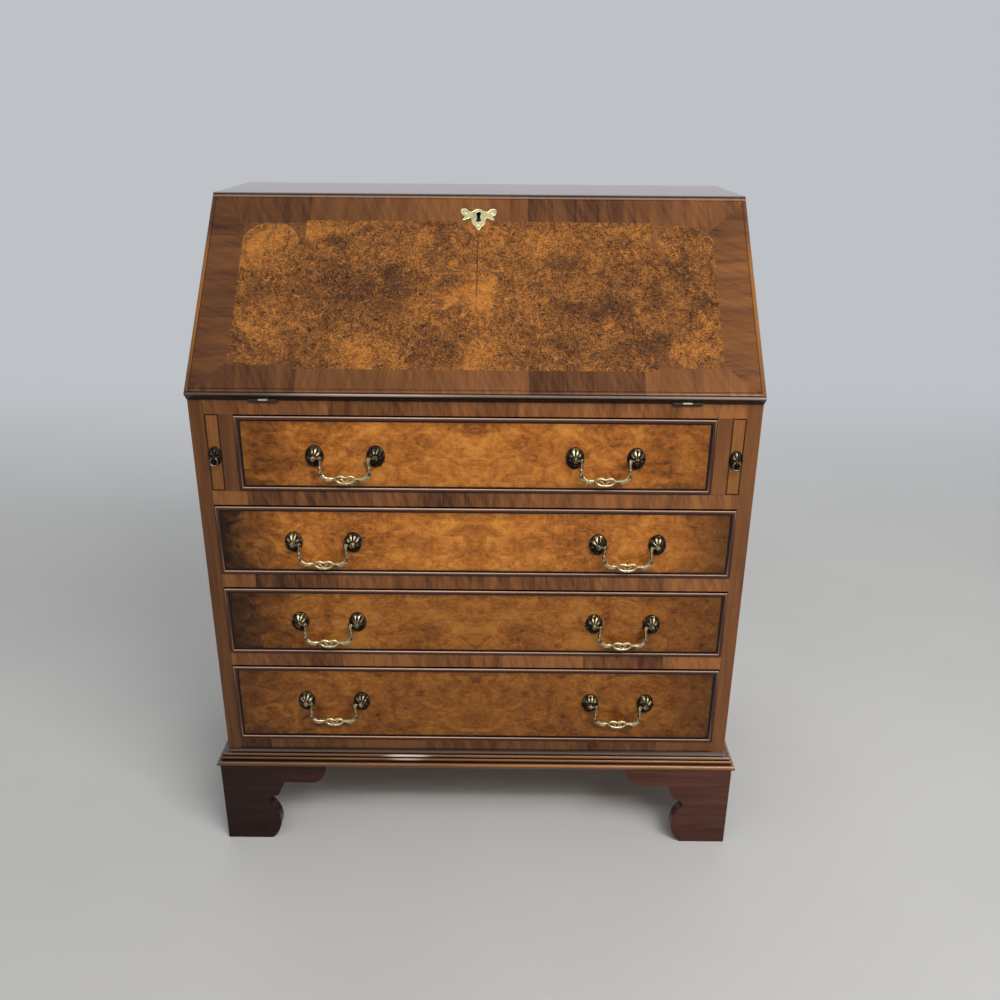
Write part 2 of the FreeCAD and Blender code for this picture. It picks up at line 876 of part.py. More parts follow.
def loper_plate():
    """Small rosette with the pierced post that the ring hangs in."""
    place = loper_pull_place()
    plate = turned(
        place, front_axis, right_axis, rosette_profile_shares,
        loper_rosette_width / 2, loper_rosette_height / 2, loper_rosette_projection, rosette_sides,
    )
    post = turned(
        place, front_axis, right_axis, post_profile_shares,
        loper_post_radius, loper_post_radius, loper_post_projection, post_sides,
    )
    reach = (place.x - loper_post_radius - overrun, place.x + loper_post_radius + overrun)
    hole = pin_hole_x(loper_pin_radius, reach, -loper_pivot_projection, place.z)
    return plate.fuse(post).cut(hole).removeSplitter()


def loper_ring():
    """Ring that hangs from the post, with the straight pin it turns on."""
    place = loper_pull_place()
    points = []
    for step in range(loper_ring_steps + 1):
        angle = math.pi * step / loper_ring_steps
        across = loper_ring_radius * math.cos(angle)
        drop = loper_ring_drop * math.sin(angle)
        points.append(place + FreeCAD.Vector(across, -loper_pivot_projection, -drop))
    radii = [loper_ring_section] * len(points)
    loop = bent_rod(points, radii, back_axis, loper_ring_sides)
    reach = (place.x - loper_ring_radius, place.x + loper_ring_radius)
    pin = rod_x(loper_pin_radius, reach, -loper_pivot_projection, place.z)
    return loop.fuse(pin)


# Long drawers
def front_range(opening):
    """Half width, bottom and top of a drawer front in its opening."""
    bottom, top, half = opening
    return half - drawer_gap, bottom + drawer_gap, top - drawer_top_gap


def dovetails(opening):
    """Tails of both sides of a drawer, let into the back of its front."""
    half, front_bottom, front_top = front_range(opening)
    level, top = box_levels(opening)
    pitch = (top - level) / dovetail_count
    root = front_thickness
    end = front_thickness - dovetail_length
    tails = []
    for index in range(dovetail_count):
        middle = level + pitch * (index + 1 / 2)
        wide = pitch * dovetail_end_share
        narrow = pitch * dovetail_root_share
        tails.append(prism_x(
            (half - drawer_side_thickness, half),
            (root, middle - narrow), (end, middle - wide), (end, middle + wide), (root, middle + narrow),
        ))
    return tails, [mirror_x(tail) for tail in tails]


def drawer_front(opening):
    """Front board, rebated for the cock bead, grooved for the bottom and cut for the dovetails."""
    half, bottom, top = front_range(opening)
    board = box(mirrored_range(half), (bead_rebate_depth, front_thickness), (bottom, top))
    levels = (bottom + bead_width, top - bead_width)
    field = box(mirrored_range(half - bead_width), (0, bead_rebate_depth), levels)
    right, left = dovetails(opening)
    return board.fuse(field).removeSplitter().cut([drawer_bottom(opening)] + right + left)


def bead_section(place, length_axis):
    """Bead section: a half round over a tongue that fills the rebate, with a low step inside."""
    steps = (
        (0, bead_shoulder),
        *half_round(
            (0, bead_shoulder), (bead_round_width / 2, bead_proud), (bead_round_width, bead_shoulder)
        ),
        (bead_round_width, bead_step_proud),
        (bead_width, bead_step_proud),
        (bead_width, -bead_rebate_depth),
    )
    return face_from(place, (0, -bead_rebate_depth), steps).extrude(length_axis)


def cock_bead(opening):
    """Four mitred strips round the edge of a drawer front."""
    half, bottom, top = front_range(opening)
    reach = (-bead_proud - overrun, bead_rebate_depth + overrun)
    inner = half - bead_width
    low_inner = bottom + bead_width
    high_inner = top - bead_width
    strip = bead_section(
        lambda inward, proud: FreeCAD.Vector(-half, -proud, bottom + inward),
        FreeCAD.Vector(2 * half, 0, 0),
    )
    mitre = prism_y(reach, (-half, bottom), (half, bottom), (inner, low_inner), (-inner, low_inner))
    low = strip.common(mitre)
    high = low.mirror(FreeCAD.Vector(0, 0, (bottom + top) / 2), up_axis)
    upright = bead_section(
        lambda inward, proud: FreeCAD.Vector(half - inward, -proud, bottom),
        FreeCAD.Vector(0, 0, top - bottom),
    )
    upright_mitre = prism_y(reach, (half, bottom), (half, top), (inner, high_inner), (inner, low_inner))
    right = upright.common(upright_mitre)
    return [low, high, right, mirror_x(right)]


def box_levels(opening):
    """Bottom and top of a drawer's sides."""
    bottom, top, half = opening
    return bottom + drawer_seat_gap, top - drawer_top_gap - drawer_top_drop


def drawer_bottom(opening):
    """Bottom board, held in grooves of the sides and the front."""
    half, front_bottom, front_top = front_range(opening)
    level, top = box_levels(opening)
    reach = half - drawer_side_thickness + drawer_groove_depth
    return box(
        mirrored_range(reach),
        (front_thickness - drawer_groove_depth, drawer_length),
        (level + drawer_bottom_lift, level + drawer_bottom_lift + drawer_bottom_thickness),
    )


def drawer_box(opening):
    """Dovetailed sides, back and bottom behind a drawer front."""
    half, front_bottom, front_top = front_range(opening)
    level, top = box_levels(opening)
    inner = half - drawer_side_thickness
    bottom = drawer_bottom(opening)
    tails, other_tails = dovetails(opening)
    side = box((inner, half), (front_thickness, drawer_length), (level, top))
    side = side.fuse(tails).removeSplitter().cut(bottom)
    back = box(
        mirrored_range(inner),
        (drawer_length - drawer_back_thickness, drawer_length),
        (level + drawer_bottom_lift + drawer_bottom_thickness, top - drawer_back_drop),
    )
    return [side, mirror_x(side), back, bottom]


# Handles
def pivot_level(opening):
    """Height of the axis of the bails on one drawer."""
    bottom, top, half = opening
    return (bottom + top) / 2 + handle_rises[drawer_openings().index(opening)]


def pivot_place(opening, centre, side):
    """Point on a bail's axis at one post, side being -1 or 1."""
    return FreeCAD.Vector(centre + side * post_spacing / 2, -pivot_projection, pivot_level(opening))


def rosette(opening, centre, side):
    """Domed rosette with a post, pierced from its inner side for the bail."""
    pivot = pivot_place(opening, centre, side)
    place = FreeCAD.Vector(pivot.x, 0, pivot.z)
    plate = turned(
        place, front_axis, right_axis, rosette_profile_shares,
        rosette_width / 2, rosette_height / 2, rosette_projection, rosette_sides,
    )
    post = turned(
        place, front_axis, right_axis, post_profile_shares,
        post_radius, post_radius, post_projection, post_sides,
    )
    inner = pivot.x - side * (post_radius + overrun)
    outer = pivot.x + side * 2 * pintle_overrun
    hole = pin_hole_x(pintle_radius, sorted((inner, outer)), pivot.y, pivot.z)
    return plate.fuse(post).cut(hole).removeSplitter()


def rosettes(opening, centre):
    """The two pairs of rosettes on one drawer."""
    return [rosette(opening, side * centre, post) for side in (-1, 1) for post in (-1, 1)]


def ornament(middle):
    """Pierced oval in the middle of a bail, with a bar across it."""
    start = middle - back_axis * (ornament_thickness / 2)
    sweep = back_axis * ornament_thickness
    wide = ornament_width / 2
    tall = ornament_height / 2
    inner_wide = wide - ornament_rim
    inner_tall = tall - ornament_rim
    reach = right_axis * (wide - ornament_rim / 2)
    rise = up_axis * (ornament_bar / 2)
    outer = flat_face(ring_points(start, right_axis, up_axis, wide, tall, ornament_sides))
    hole = flat_face(ring_points(start, right_axis, up_axis, inner_wide, inner_tall, ornament_sides))
    bar = flat_face([start - reach, start + rise, start + reach, start - rise])
    return outer.cut(hole).extrude(sweep).fuse(bar.extrude(sweep))


def bail(opening, centre):
    """Swan-neck bail: two necks that hook into the posts, joined by the pierced oval."""
    half_spacing = post_spacing / 2
    first = pivot_place(opening, centre, 1)
    middle = FreeCAD.Vector(centre, first.y, first.z)
    points = []
    radii = []
    for across_share, down_share, radius_share in bail_path_shares:
        points.append(middle + FreeCAD.Vector(half_spacing * across_share, 0, -bail_drop * down_share))
        radii.append(bail_radius * radius_share)
    neck = bent_rod(points, radii, back_axis, bail_sides)
    other_neck = neck.mirror(middle, right_axis)
    start = points[0].x - centre
    end = half_spacing + pintle_overrun
    right = neck.fuse(rod_x(pintle_radius, (centre + start, centre + end), first.y, first.z))
    left = other_neck.fuse(pin_x(pintle_radius, (centre - end, centre - start), first.y, first.z))
    oval = ornament(middle - FreeCAD.Vector(0, 0, bail_drop * bail_path_shares[-1][1]))
    return oval.fuse([right, left]).removeSplitter()


# Gallery
def gallery_levels():
    """Top of the gallery's base board, top of its shelf's underside and underside of its top."""
    base = hinge_z + gallery_board
    return base, base + gallery_shelf_height, top_bottom - gallery_board


def gallery_uprights():
    """Inner and outer faces of the right bay of the gallery."""
    return gallery_centre_half_width + gallery_board, inner_half - gallery_board


def gallery_case():
    """Thin boards of the gallery: base, top, ends, uprights, shelves and dividers."""
    base, shelf, ceiling = gallery_levels()
    bay_inner, bay_outer = gallery_uprights()
    depth = (gallery_front, back_face)
    pieces = [
        box(mirrored_range(inner_half), depth, (hinge_z, base)),
        box(mirrored_range(inner_half), depth, (ceiling, top_bottom)),
    ]
    uprights = ((bay_outer, inner_half), (gallery_centre_half_width, bay_inner))
    bay = [box(x_range, depth, (base, ceiling)) for x_range in uprights]
    bay.append(box((bay_inner, bay_outer), depth, (shelf, shelf + gallery_board)))
    for place in divider_places():
        bay.append(box((place, place + gallery_divider), depth, (shelf + gallery_board, ceiling)))
    return pieces + bay + [mirror_x(piece) for piece in bay]


def divider_places():
    """Inner face of each divider between the pigeonholes of the right bay."""
    bay_inner, bay_outer = gallery_uprights()
    dividers = pigeonhole_count - 1
    pitch = (bay_outer - bay_inner + gallery_divider) / pigeonhole_count
    return [bay_inner + pitch * (index + 1) - gallery_divider for index in range(dividers)]


def small_drawer():
    """Right-hand drawer of the gallery: front, sides, back and bottom."""
    base, shelf, ceiling = gallery_levels()
    bay_inner, bay_outer = gallery_uprights()
    left = bay_inner + small_drawer_gap
    right = bay_outer - small_drawer_gap
    level = base + drawer_seat_gap
    top = shelf - small_drawer_gap
    behind_front = gallery_front + small_drawer_front
    end = back_face - small_drawer_back_gap
    floor = level + small_drawer_bottom
    inner = (left + small_drawer_side, right - small_drawer_side)
    return [
        box((left, right), (gallery_front, behind_front), (level, top)),
        box((left, left + small_drawer_side), (behind_front, end), (level, top)),
        box((right - small_drawer_side, right), (behind_front, end), (level, top)),
        box(inner, (end - small_drawer_side, end), (floor, top - small_drawer_back_drop)),
        box(inner, (behind_front, end), (level, floor)),
    ]


def small_knob():
    """Turned knob on the right-hand gallery drawer."""
    base, shelf, ceiling = gallery_levels()
    bay_inner, bay_outer = gallery_uprights()
    place = FreeCAD.Vector((bay_inner + bay_outer) / 2, gallery_front, (base + shelf) / 2)
    return turned(
        place, front_axis, right_axis, knob_profile_shares,
        knob_radius, knob_radius, knob_length, knob_sides,
    )


# Nodes
def carcass_nodes():
    """Fixed woodwork."""
    side = side_panel()
    front_foot = [front_bracket(), side_bracket(True)]
    back_foot = [side_bracket(False), back_bracket()]
    return {
        "side_right": [side],
        "side_left": [mirror_x(side)],
        "top_board": [top_board()],
        "back_panel": [back_panel()],
        "bottom_board": [bottom_board()],
        "writing_board": [writing_board()],
        "drawer_rails": rails(),
        "loper_partitions": partitions(),
        "drawer_runners": runners(),
        "base_moulding": base_moulding(),
        "foot_front_right": front_foot,
        "foot_front_left": [mirror_x(piece) for piece in front_foot],
        "foot_back_right": back_foot,
        "foot_back_left": [mirror_x(piece) for piece in back_foot],
        "foot_blocks": foot_blocks(),
        "gallery_case": gallery_case(),
        "lock_keeper": [keeper_plate().cut(bolt_pocket())],
        "hinge_leaves_fixed": fixed_leaves(),
        "hinge_pins": hinge_pins(),
    }


def fall_nodes():
    """Fall and what it carries."""
    return {
        "fall_panel": [fall_panel()],
        "writing_leather": [to_slope(leather_blank(0.0))],
        "escutcheon": [escutcheon()],
        "lock_case": [lock_case()],
        "lock_bolt": [lock_bolt()],
        "hinge_leaves_fall": fall_leaves(),
    }


def pair_nodes():
    """Pieces that come as a left and a right one."""
    rights = {
        "loper": [loper()],
        "loper_plate": [loper_plate()],
        "loper_ring": [loper_ring()],
        "gallery_drawer": small_drawer(),
        "gallery_knob": [small_knob()],
    }
    nodes = {}
    for name, pieces in rights.items():
        nodes[name + "_right"] = pieces
        nodes[name + "_left"] = [mirror_x(piece) for piece in pieces]
    return nodes


def drawer_nodes():
    """The four long drawers, counted from the top."""
    nodes = {}
    for index, opening in enumerate(drawer_openings()):
        name = "drawer_" + str(index + 1)
        centre = handle_centre_narrow if index == 0 else handle_centre_wide
        nodes[name + "_front"] = [drawer_front(opening)]
        nodes[name + "_box"] = drawer_box(opening)
        nodes[name + "_cock_bead"] = cock_bead(opening)
        nodes[name + "_rosettes"] = rosettes(opening, centre)
        nodes[name + "_bail_left"] = [bail(opening, -centre)]
        nodes[name + "_bail_right"] = [bail(opening, centre)]
    return nodes


def write_nodes(nodes):
    """One file for each node, with the whole object moved to its origin."""
    os.makedirs("parts", exist_ok=True)
    for name, pieces in nodes.items():
        shape = pieces[0] if len(pieces) == 1 else Part.makeCompound(pieces)
        moved(shape, y=origin_shift).exportStep("parts/" + name + ".step")


def main():
    """Build every node."""
    for nodes in (carcass_nodes(), fall_nodes(), pair_nodes(), drawer_nodes()):
        write_nodes(nodes)


main()
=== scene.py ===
import json
import math

import bmesh
import bpy
from bpy.props import FloatProperty, FloatVectorProperty, IntProperty, PointerProperty
from mathutils import Matrix, Vector


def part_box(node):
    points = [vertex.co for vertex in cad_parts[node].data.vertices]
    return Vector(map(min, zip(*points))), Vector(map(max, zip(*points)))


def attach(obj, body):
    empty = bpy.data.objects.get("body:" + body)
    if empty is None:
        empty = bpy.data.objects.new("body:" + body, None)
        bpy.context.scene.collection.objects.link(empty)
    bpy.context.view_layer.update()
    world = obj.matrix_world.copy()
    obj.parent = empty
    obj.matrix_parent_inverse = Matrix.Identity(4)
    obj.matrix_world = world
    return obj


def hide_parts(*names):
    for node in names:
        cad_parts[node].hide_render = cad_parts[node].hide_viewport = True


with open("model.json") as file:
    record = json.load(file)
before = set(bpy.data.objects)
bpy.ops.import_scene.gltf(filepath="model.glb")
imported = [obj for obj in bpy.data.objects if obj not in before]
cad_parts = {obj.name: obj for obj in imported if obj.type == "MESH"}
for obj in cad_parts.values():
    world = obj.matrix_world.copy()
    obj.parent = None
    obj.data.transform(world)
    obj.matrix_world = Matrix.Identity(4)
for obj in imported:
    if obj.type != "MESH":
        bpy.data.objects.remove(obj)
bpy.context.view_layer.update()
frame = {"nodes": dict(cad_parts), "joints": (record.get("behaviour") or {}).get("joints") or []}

bl_info = {
    "name": "Writing bureau",
    "version": (1, 0, 0),
    "blender": (4, 5, 0),
    "location": "View3D > Sidebar > Bureau",
    "description": "Veneers, brassware and stage for a walnut writing bureau",
    "category": "Object",
}

MM = 0.001

# Planes and lines of the cabinetwork that the finishes and the brassware follow
PIVOTS = {joint["name"]: Vector(joint["pos_m"]) for joint in frame["joints"] if "pos_m" in joint}
HINGE = PIVOTS["fall_hinge"]
FALL_ANGLE = math.radians(46.0)
FALL_COS, FALL_SIN = math.cos(FALL_ANGLE), math.sin(FALL_ANGLE)
FRONT_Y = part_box("side_left")[0].y
DRAWERS = (1, 2, 3, 4)
SIDES = ("left", "right")

# Gloss of the polished wood
SATIN_COAT = 0.05
POLISH = {"specular_ior_level": 0.2, "coat_weight": SATIN_COAT, "coat_roughness": 0.07}


def linear(red, green, blue):
    """Colour as it is measured on a screen, turned to the values that a shader takes."""
    values = []
    for value in (red, green, blue):
        share = value / 255
        values.append(share / 12.92 if share <= 0.04045 else ((share + 0.055) / 1.055) ** 2.4)
    return tuple(values)


# Settings
def colour(name, description, red, green, blue):
    """Colour setting with its default."""
    return FloatVectorProperty(
        name=name, description=description, subtype="COLOR", size=3, min=0.0, max=1.0,
        default=linear(red, green, blue),
    )


def length(name, description, millimetres):
    """Length setting with its default."""
    return FloatProperty(
        name=name, description=description, subtype="DISTANCE", unit="LENGTH", default=millimetres * MM
    )


def bearing(name, description, radians):
    """Angle setting with its default."""
    return FloatProperty(name=name, description=description, subtype="ANGLE", default=radians)


def wattage(name, description, watts):
    """Lamp power setting with its default."""
    return FloatProperty(name=name, description=description, subtype="POWER", default=watts, min=0.0)


def tally(name, description, number, least):
    """Whole number setting with its default and its lower limit."""
    return IntProperty(name=name, description=description, default=number, min=least)


class BureauFinish(bpy.types.PropertyGroup):
    """Colours of the woods, the brass and the leather."""

    band_dark: colour("Banding, dark", "Shaded figure of the crossbanding", 66, 37, 22)
    band_light: colour("Banding, light", "Bright figure of the crossbanding", 134, 86, 47)
    burr_dark: colour("Burr, dark", "Eyes and shaded figure of the burr", 40, 24, 14)
    burr_middle: colour("Burr, middle", "Ground of the burr", 116, 72, 34)
    burr_light: colour("Burr, light", "Bright figure of the burr", 192, 124, 52)
    gold_dark: colour("Fronts, dark", "Shaded edges of the drawer fronts", 92, 48, 18)
    gold_middle: colour("Fronts, middle", "Ground of the drawer fronts", 170, 102, 38)
    gold_light: colour("Fronts, light", "Bright figure of the drawer fronts", 216, 144, 62)
    foot_wood: colour("Feet", "Polished walnut of the feet", 62, 35, 26)
    bead_wood: colour("Beads", "Stained walnut of the cock beads", 66, 38, 27)
    moulding_wood: colour("Mouldings", "Reeds of the base moulding", 138, 92, 52)
    lining_wood: colour("Linings", "Plain oak and pine of the inside", 168, 128, 84)
    brass_dark: colour("Brass, dark", "Hollows of the cast brass", 40, 32, 24)
    # Also the colour of the painted light on the upper and front sides of the brass
    brass_light: colour("Brass, light", "Worn tops of the cast brass", 204, 183, 140)
    plate_brass: colour("Plate brass", "Bright plate of the keyhole", 232, 224, 172)
    hide: colour("Hide", "Leather of the writing surface", 84, 30, 20)
    steel: colour("Steel", "Bolt of the lock", 150, 150, 152)
    floor: colour("Floor", "Plain floor", 196, 197, 197)
    backdrop: colour("Backdrop", "Plain backdrop behind the floor", 190, 193, 198)


class BureauSizes(bpy.types.PropertyGroup):
    """Sizes of the brassware that are finer than the cabinetwork."""

    post_spacing: length("Post spacing", "Between the two posts of a handle", 83.0)
    rosette_width: length("Rosette width", "Across one rosette", 25.0)
    rosette_height: length("Rosette height", "Up one rosette", 31.0)
    rosette_depth: length("Rosette depth", "How far a rosette stands out", 9.6)
    rosette_petals: tally("Rosette petals", "Petals round a rosette", 9, 6)
    pull_width: length("Pull width", "Across the plate of a loper pull", 19.0)
    pull_height: length("Pull height", "Up the plate of a loper pull", 27.0)
    pull_depth: length("Pull depth", "How far the plate of a loper pull stands out", 7.0)
    bead_facets: tally("Bead facets", "Steps round a half-round bead", 12, 4)


class BureauStage(bpy.types.PropertyGroup):
    """Camera and light."""

    camera_place: FloatVectorProperty(
        name="Camera place", description="Where the camera stands", subtype="XYZ", unit="LENGTH", size=3,
        default=(0.0368, -1.41536, 1.0755),
    )
    camera_pitch: bearing("Camera pitch", "How far the camera looks down", 0.3881)
    camera_yaw: bearing("Camera yaw", "How far the camera looks to the right", -0.0025)
    camera_roll: bearing("Camera roll", "How far the camera leans", -0.0081)
    camera_lens: FloatProperty(
        name="Camera lens", description="Focal length", subtype="DISTANCE_CAMERA", unit="CAMERA", default=34.31
    )
    key_power: wattage("Key power", "Power of the main softbox", 66.0)
    strip_power: wattage("Strip power", "Power of the long strip that lights the beads", 18.0)
    fill_power: wattage("Fill power", "Power of the side lamp", 5.0)
    rear_power: wattage("Rear power", "Power of the lamp over the floor behind", 34.0)
    sky_strength: FloatProperty(
        name="Sky strength", description="Light from all round", default=0.3, min=0.0
    )


# Shader sums
def both_ways(operation):
    """Arithmetic on a socket and its reflected form, where the socket stands second."""
    return (
        lambda socket, other: socket.math(operation, socket, other),
        lambda socket, other: socket.math(operation, other, socket),
    )


class Socket:
    """Output of a node, used in plain sums that add their own nodes."""

    def __init__(self, tree, link):
        self.tree = tree
        self.link = link

    def node(self, kind, settings=None, values=None, output=0):
        """Add a node: its settings first, then the values or links of its sockets."""
        made = self.tree.nodes.new(kind)
        for name, value in (settings or {}).items():
            if name == "stops":
                set_stops(made.color_ramp, value)
            else:
                setattr(made, name, value)
        for name, value in (values or {}).items():
            if isinstance(value, Socket):
                self.tree.links.new(value.link, made.inputs[name])
            else:
                made.inputs[name].default_value = value
        return Socket(self.tree, made.outputs[output] if made.outputs else None)

    def other(self, output):
        """Another output of the same node."""
        return Socket(self.tree, self.link.node.outputs[output])

    def math(self, operation, first, *others):
        """Math node on one to three values."""
        values = dict(enumerate((first,) + others))
        return self.node("ShaderNodeMath", {"operation": operation}, values)

    __add__, __radd__ = both_ways("ADD")
    __sub__, __rsub__ = both_ways("SUBTRACT")
    __mul__, __rmul__ = both_ways("MULTIPLY")
    __truediv__, __rtruediv__ = both_ways("DIVIDE")
    __pow__, __rpow__ = both_ways("POWER")

    def __abs__(self):
        return self.math("ABSOLUTE", self)

    def floor(self):
        """Whole number at or below the value."""
        return self.math("FLOOR", self)

    def least(self, other):
        """Smaller of two values."""
        return self.math("MINIMUM", self, other)

    def most(self, other):
        """Larger of two values."""
        return self.math("MAXIMUM", self, other)

    def swing(self, gain):
        """Value from 0 to 1, turned to swing to both sides of 0."""
        return (self - 0.5) * gain

    def above(self, lowest):
        """Mask that starts from another value than 0."""
        return self * (1 - lowest) + lowest

    def rise(self, start, end):
        """Smooth step from 0 at the start to 1 at the end."""
        values = {"Value": self, "From Min": start, "From Max": end, "To Min": 0.0, "To Max": 1.0}
        return self.node("ShaderNodeMapRange", {"interpolation_type": "SMOOTHSTEP"}, values)

    def step(self, start, end):
        """Smooth step from 0 to 1 between two places in millimetres."""
        return self.rise(start * MM, end * MM)

    def within(self, limit, soft):
        """1 below a limit in millimetres and 0 above it, with a soft edge to each side."""
        return 1 - self.step(limit - soft, limit + soft)


def set_stops(ramp, stops):
    """Give a colour ramp its stops, each a place and a colour."""
    while len(ramp.elements) > len(stops):
        ramp.elements.remove(ramp.elements[-1])
    while len(ramp.elements) < len(stops):
        ramp.elements.new(1.0)
    for element, (place, stop_colour) in zip(ramp.elements, stops):
        element.position = place
        element.color = (*stop_colour, 1.0)


class Finish:
    """Material in the making, with the noises and mixes that the finishes share."""

    def __init__(self, name):
        self.material = bpy.data.materials.new(name)
        self.material.use_nodes = True
        tree = self.material.node_tree
        tree.nodes.clear()
        self.root = Socket(tree, None)
        self.place = self.root.node("ShaderNodeTexCoord", output="Object")
        split = self.root.node("ShaderNodeSeparateXYZ", values={0: self.place})
        self.x, self.y, self.z = (split.other(axis) for axis in range(3))

    def facing(self, axis):
        """How far the surface faces along one axis, from -1 to 1."""
        normal = self.root.node("ShaderNodeTexCoord", output="Normal")
        return self.root.node("ShaderNodeSeparateXYZ", values={0: normal}, output=axis)

    def point(self, x, y, z):
        """Vector from three values."""
        return self.root.node("ShaderNodeCombineXYZ", values={0: x, 1: y, 2: z})

    def noise(self, where, scale, detail=2.0, roughness=0.5, distortion=0.0, output="Fac"):
        """Soft noise from 0 to 1."""
        values = {
            "Vector": where, "Scale": scale, "Detail": detail,
            "Roughness": roughness, "Distortion": distortion,
        }
        return self.root.node("ShaderNodeTexNoise", {"noise_dimensions": "3D"}, values, output)

    def cells(self, where, scale):
        """Distance to the nearest of a scatter of points."""
        values = {"Vector": where, "Scale": scale}
        return self.root.node("ShaderNodeTexVoronoi", values=values, output="Distance")

    def chance(self, value):
        """Random number from 0 to 1 that stays the same for the same value."""
        return self.root.node("ShaderNodeTexWhiteNoise", {"noise_dimensions": "1D"}, {"W": value}, "Value")

    def ramp(self, value, *stops):
        """Colour that changes with a value."""
        return self.root.node("ShaderNodeValToRGB", {"stops": stops}, {"Fac": value}, "Color")

    def tones(self, value, ground, *stops):
        """One colour at several strengths: each stop is a place and how much brighter."""
        base = Vector(ground)
        return self.ramp(value, *((place, base * gain) for place, gain in stops))

    def mix(self, factor, first, second):
        """First colour where the factor is 0, second where it is 1."""
        values = {0: factor}
        for key, value in ((6, first), (7, second)):
            values[key] = value if isinstance(value, Socket) else (*value, 1.0)
        return self.root.node("ShaderNodeMix", {"data_type": "RGBA"}, values, 2)

    def shade(self, picture, factor):
        """Colour made darker or brighter by a factor."""
        grey = self.root.node("ShaderNodeCombineColor", values={0: factor, 1: factor, 2: factor})
        settings = {"data_type": "RGBA", "blend_type": "MULTIPLY"}
        return self.root.node("ShaderNodeMix", settings, {0: 1.0, 6: picture, 7: grey}, 2)

    def bump(self, height, strength, depth=0.3):
        """Normal from a height, with its depth in millimetres."""
        values = {"Height": height, "Strength": strength, "Distance": depth * MM}
        return self.root.node("ShaderNodeBump", values=values, output="Normal")

    def spot(self, across, up, place, reach):
        """Soft round mask: 1 at a place, 0 beyond its reach to each side."""
        wide = (across - place[0] * MM) / (reach[0] * MM)
        high = (up - place[1] * MM) / (reach[1] * MM)
        return 1 - ((wide ** 2.0 + high ** 2.0) ** 0.5).rise(0.0, 1.0)

    def done(self, **sockets):
        """Join the shader and hand back the material."""
        values = {
            name.replace("_", " ").title().replace("Ior", "IOR"): value for name, value in sockets.items()
        }
        shader = self.root.node("ShaderNodeBsdfPrincipled", values=values, output="BSDF")
        self.root.node("ShaderNodeOutputMaterial", values={"Surface": shader})
        return self.material

    def polished(self, **sockets):
        """Join the shader of satin-polished wood."""
        return self.done(**{**POLISH, **sockets})


def streaks(finish, along, across, depth, coarse=70.0, fine=420.0):
    """Straight grain: broad and fine streaks that run along one direction."""
    broad = finish.noise(finish.point(along * 5.0, across * coarse, depth * coarse), 1.0, 3.0, 0.55, 0.2)
    thin = finish.noise(finish.point(along * 22.0, across * fine, depth * fine), 1.0, 2.0, 0.6)
    return broad * 0.62 + thin * 0.38


def banding(finish, along, across, depth, piece, start, seed):
    """Crossbanding: short pieces of veneer side by side, each with its own tone and ripple."""
    number = ((across - start * MM) / (piece * MM)).floor()
    tone = finish.chance(number + seed)
    slant = finish.chance(number + seed + 31.0).swing(0.3)
    grain = streaks(finish, along + across * slant, across + along * slant, depth + number * 0.37)
    lean = along * 55.0 + across * 120.0
    ripple = finish.noise(finish.point(lean, across * 14.0 - along * 8.0, number + seed), 1.0, 2.0, 0.5, 0.4)
    clouds = finish.noise(finish.point(along * 9.0, across * 5.0, number + seed), 1.0, 1.0)
    return grain * 0.7 + 0.15 + tone.swing(0.2) + ripple.swing(0.3) + clouds.swing(0.3)


def band_colour(finish, colours, value):
    """Walnut banding colours for a grain value."""
    dark, light = Vector(colours.band_dark), Vector(colours.band_light)
    return finish.ramp(
        value,
        (0.2, dark * 0.8), (0.4, dark.lerp(light, 0.32)),
        (0.6, dark.lerp(light, 0.68)), (0.82, light * 1.15),
    )


# Lines of the fall in millimetres. Up the slope from the hinge: the middle of the burr field and of the
# keyhole, the painted shade lines at the foot and the head, and the top. Then the painted shade lines at the
# ends, from the centre, and how far the face stands off the slope through the hinge
FIELD_MIDDLE, KEYHOLE_MIDDLE = 155.5, 282.0
FOOT_LINE, HEAD_LINE, FALL_TOP = 2.1, 313.8, 321.4
END_LINE = 373.8
FACE_LEVEL = 20.0

# Burr field in millimetres: half its width and height in its body, in its belt between the ears and over
# all, then the centre of the ears and how far their arcs reach outward, inward and up
FIELD_BODY, FIELD_BELT, FIELD_WHOLE = (241.0, 119.0), (329.0, 76.5), (328.3, 113.5)
EAR_CENTRE, EAR_OUTWARD, EAR_INWARD, EAR_RISE = 285.0, 44.5, 35.0, 38.0

# Clouds of the burr, in millimetres across and up the fall: place, reach, and how much lighter
BURR_CLOUDS = (
    ((-310, 235), (70, 60), 0.2), ((-225, 262), (70, 28), 0.1), ((0, 150), (40, 66), 0.24),
    ((0, 60), (30, 52), 0.16), ((-155, 60), (105, 40), 0.15), ((70, 240), (100, 38), 0.1),
    ((285, 65), (56, 34), 0.16), ((-270, 90), (60, 45), 0.06),
    ((-165, 165), (120, 60), -0.14), ((-205, 235), (28, 34), -0.1), ((125, 205), (50, 26), -0.12),
    ((160, 130), (100, 34), -0.14), ((270, 195), (34, 36), -0.19), ((300, 125), (30, 42), -0.13),
    ((230, 62), (64, 30), -0.13), ((-60, 75), (46, 54), -0.08), ((-325, 85), (36, 42), -0.11),
    ((85, 55), (56, 28), -0.07),
)


# Finishes of the fall
def fall_place(finish):
    """Place up the slope of the fall and square to it."""
    back = finish.y - HINGE.y
    up = finish.z - HINGE.z
    return back * FALL_COS + up * FALL_SIN, up * FALL_COS - back * FALL_SIN


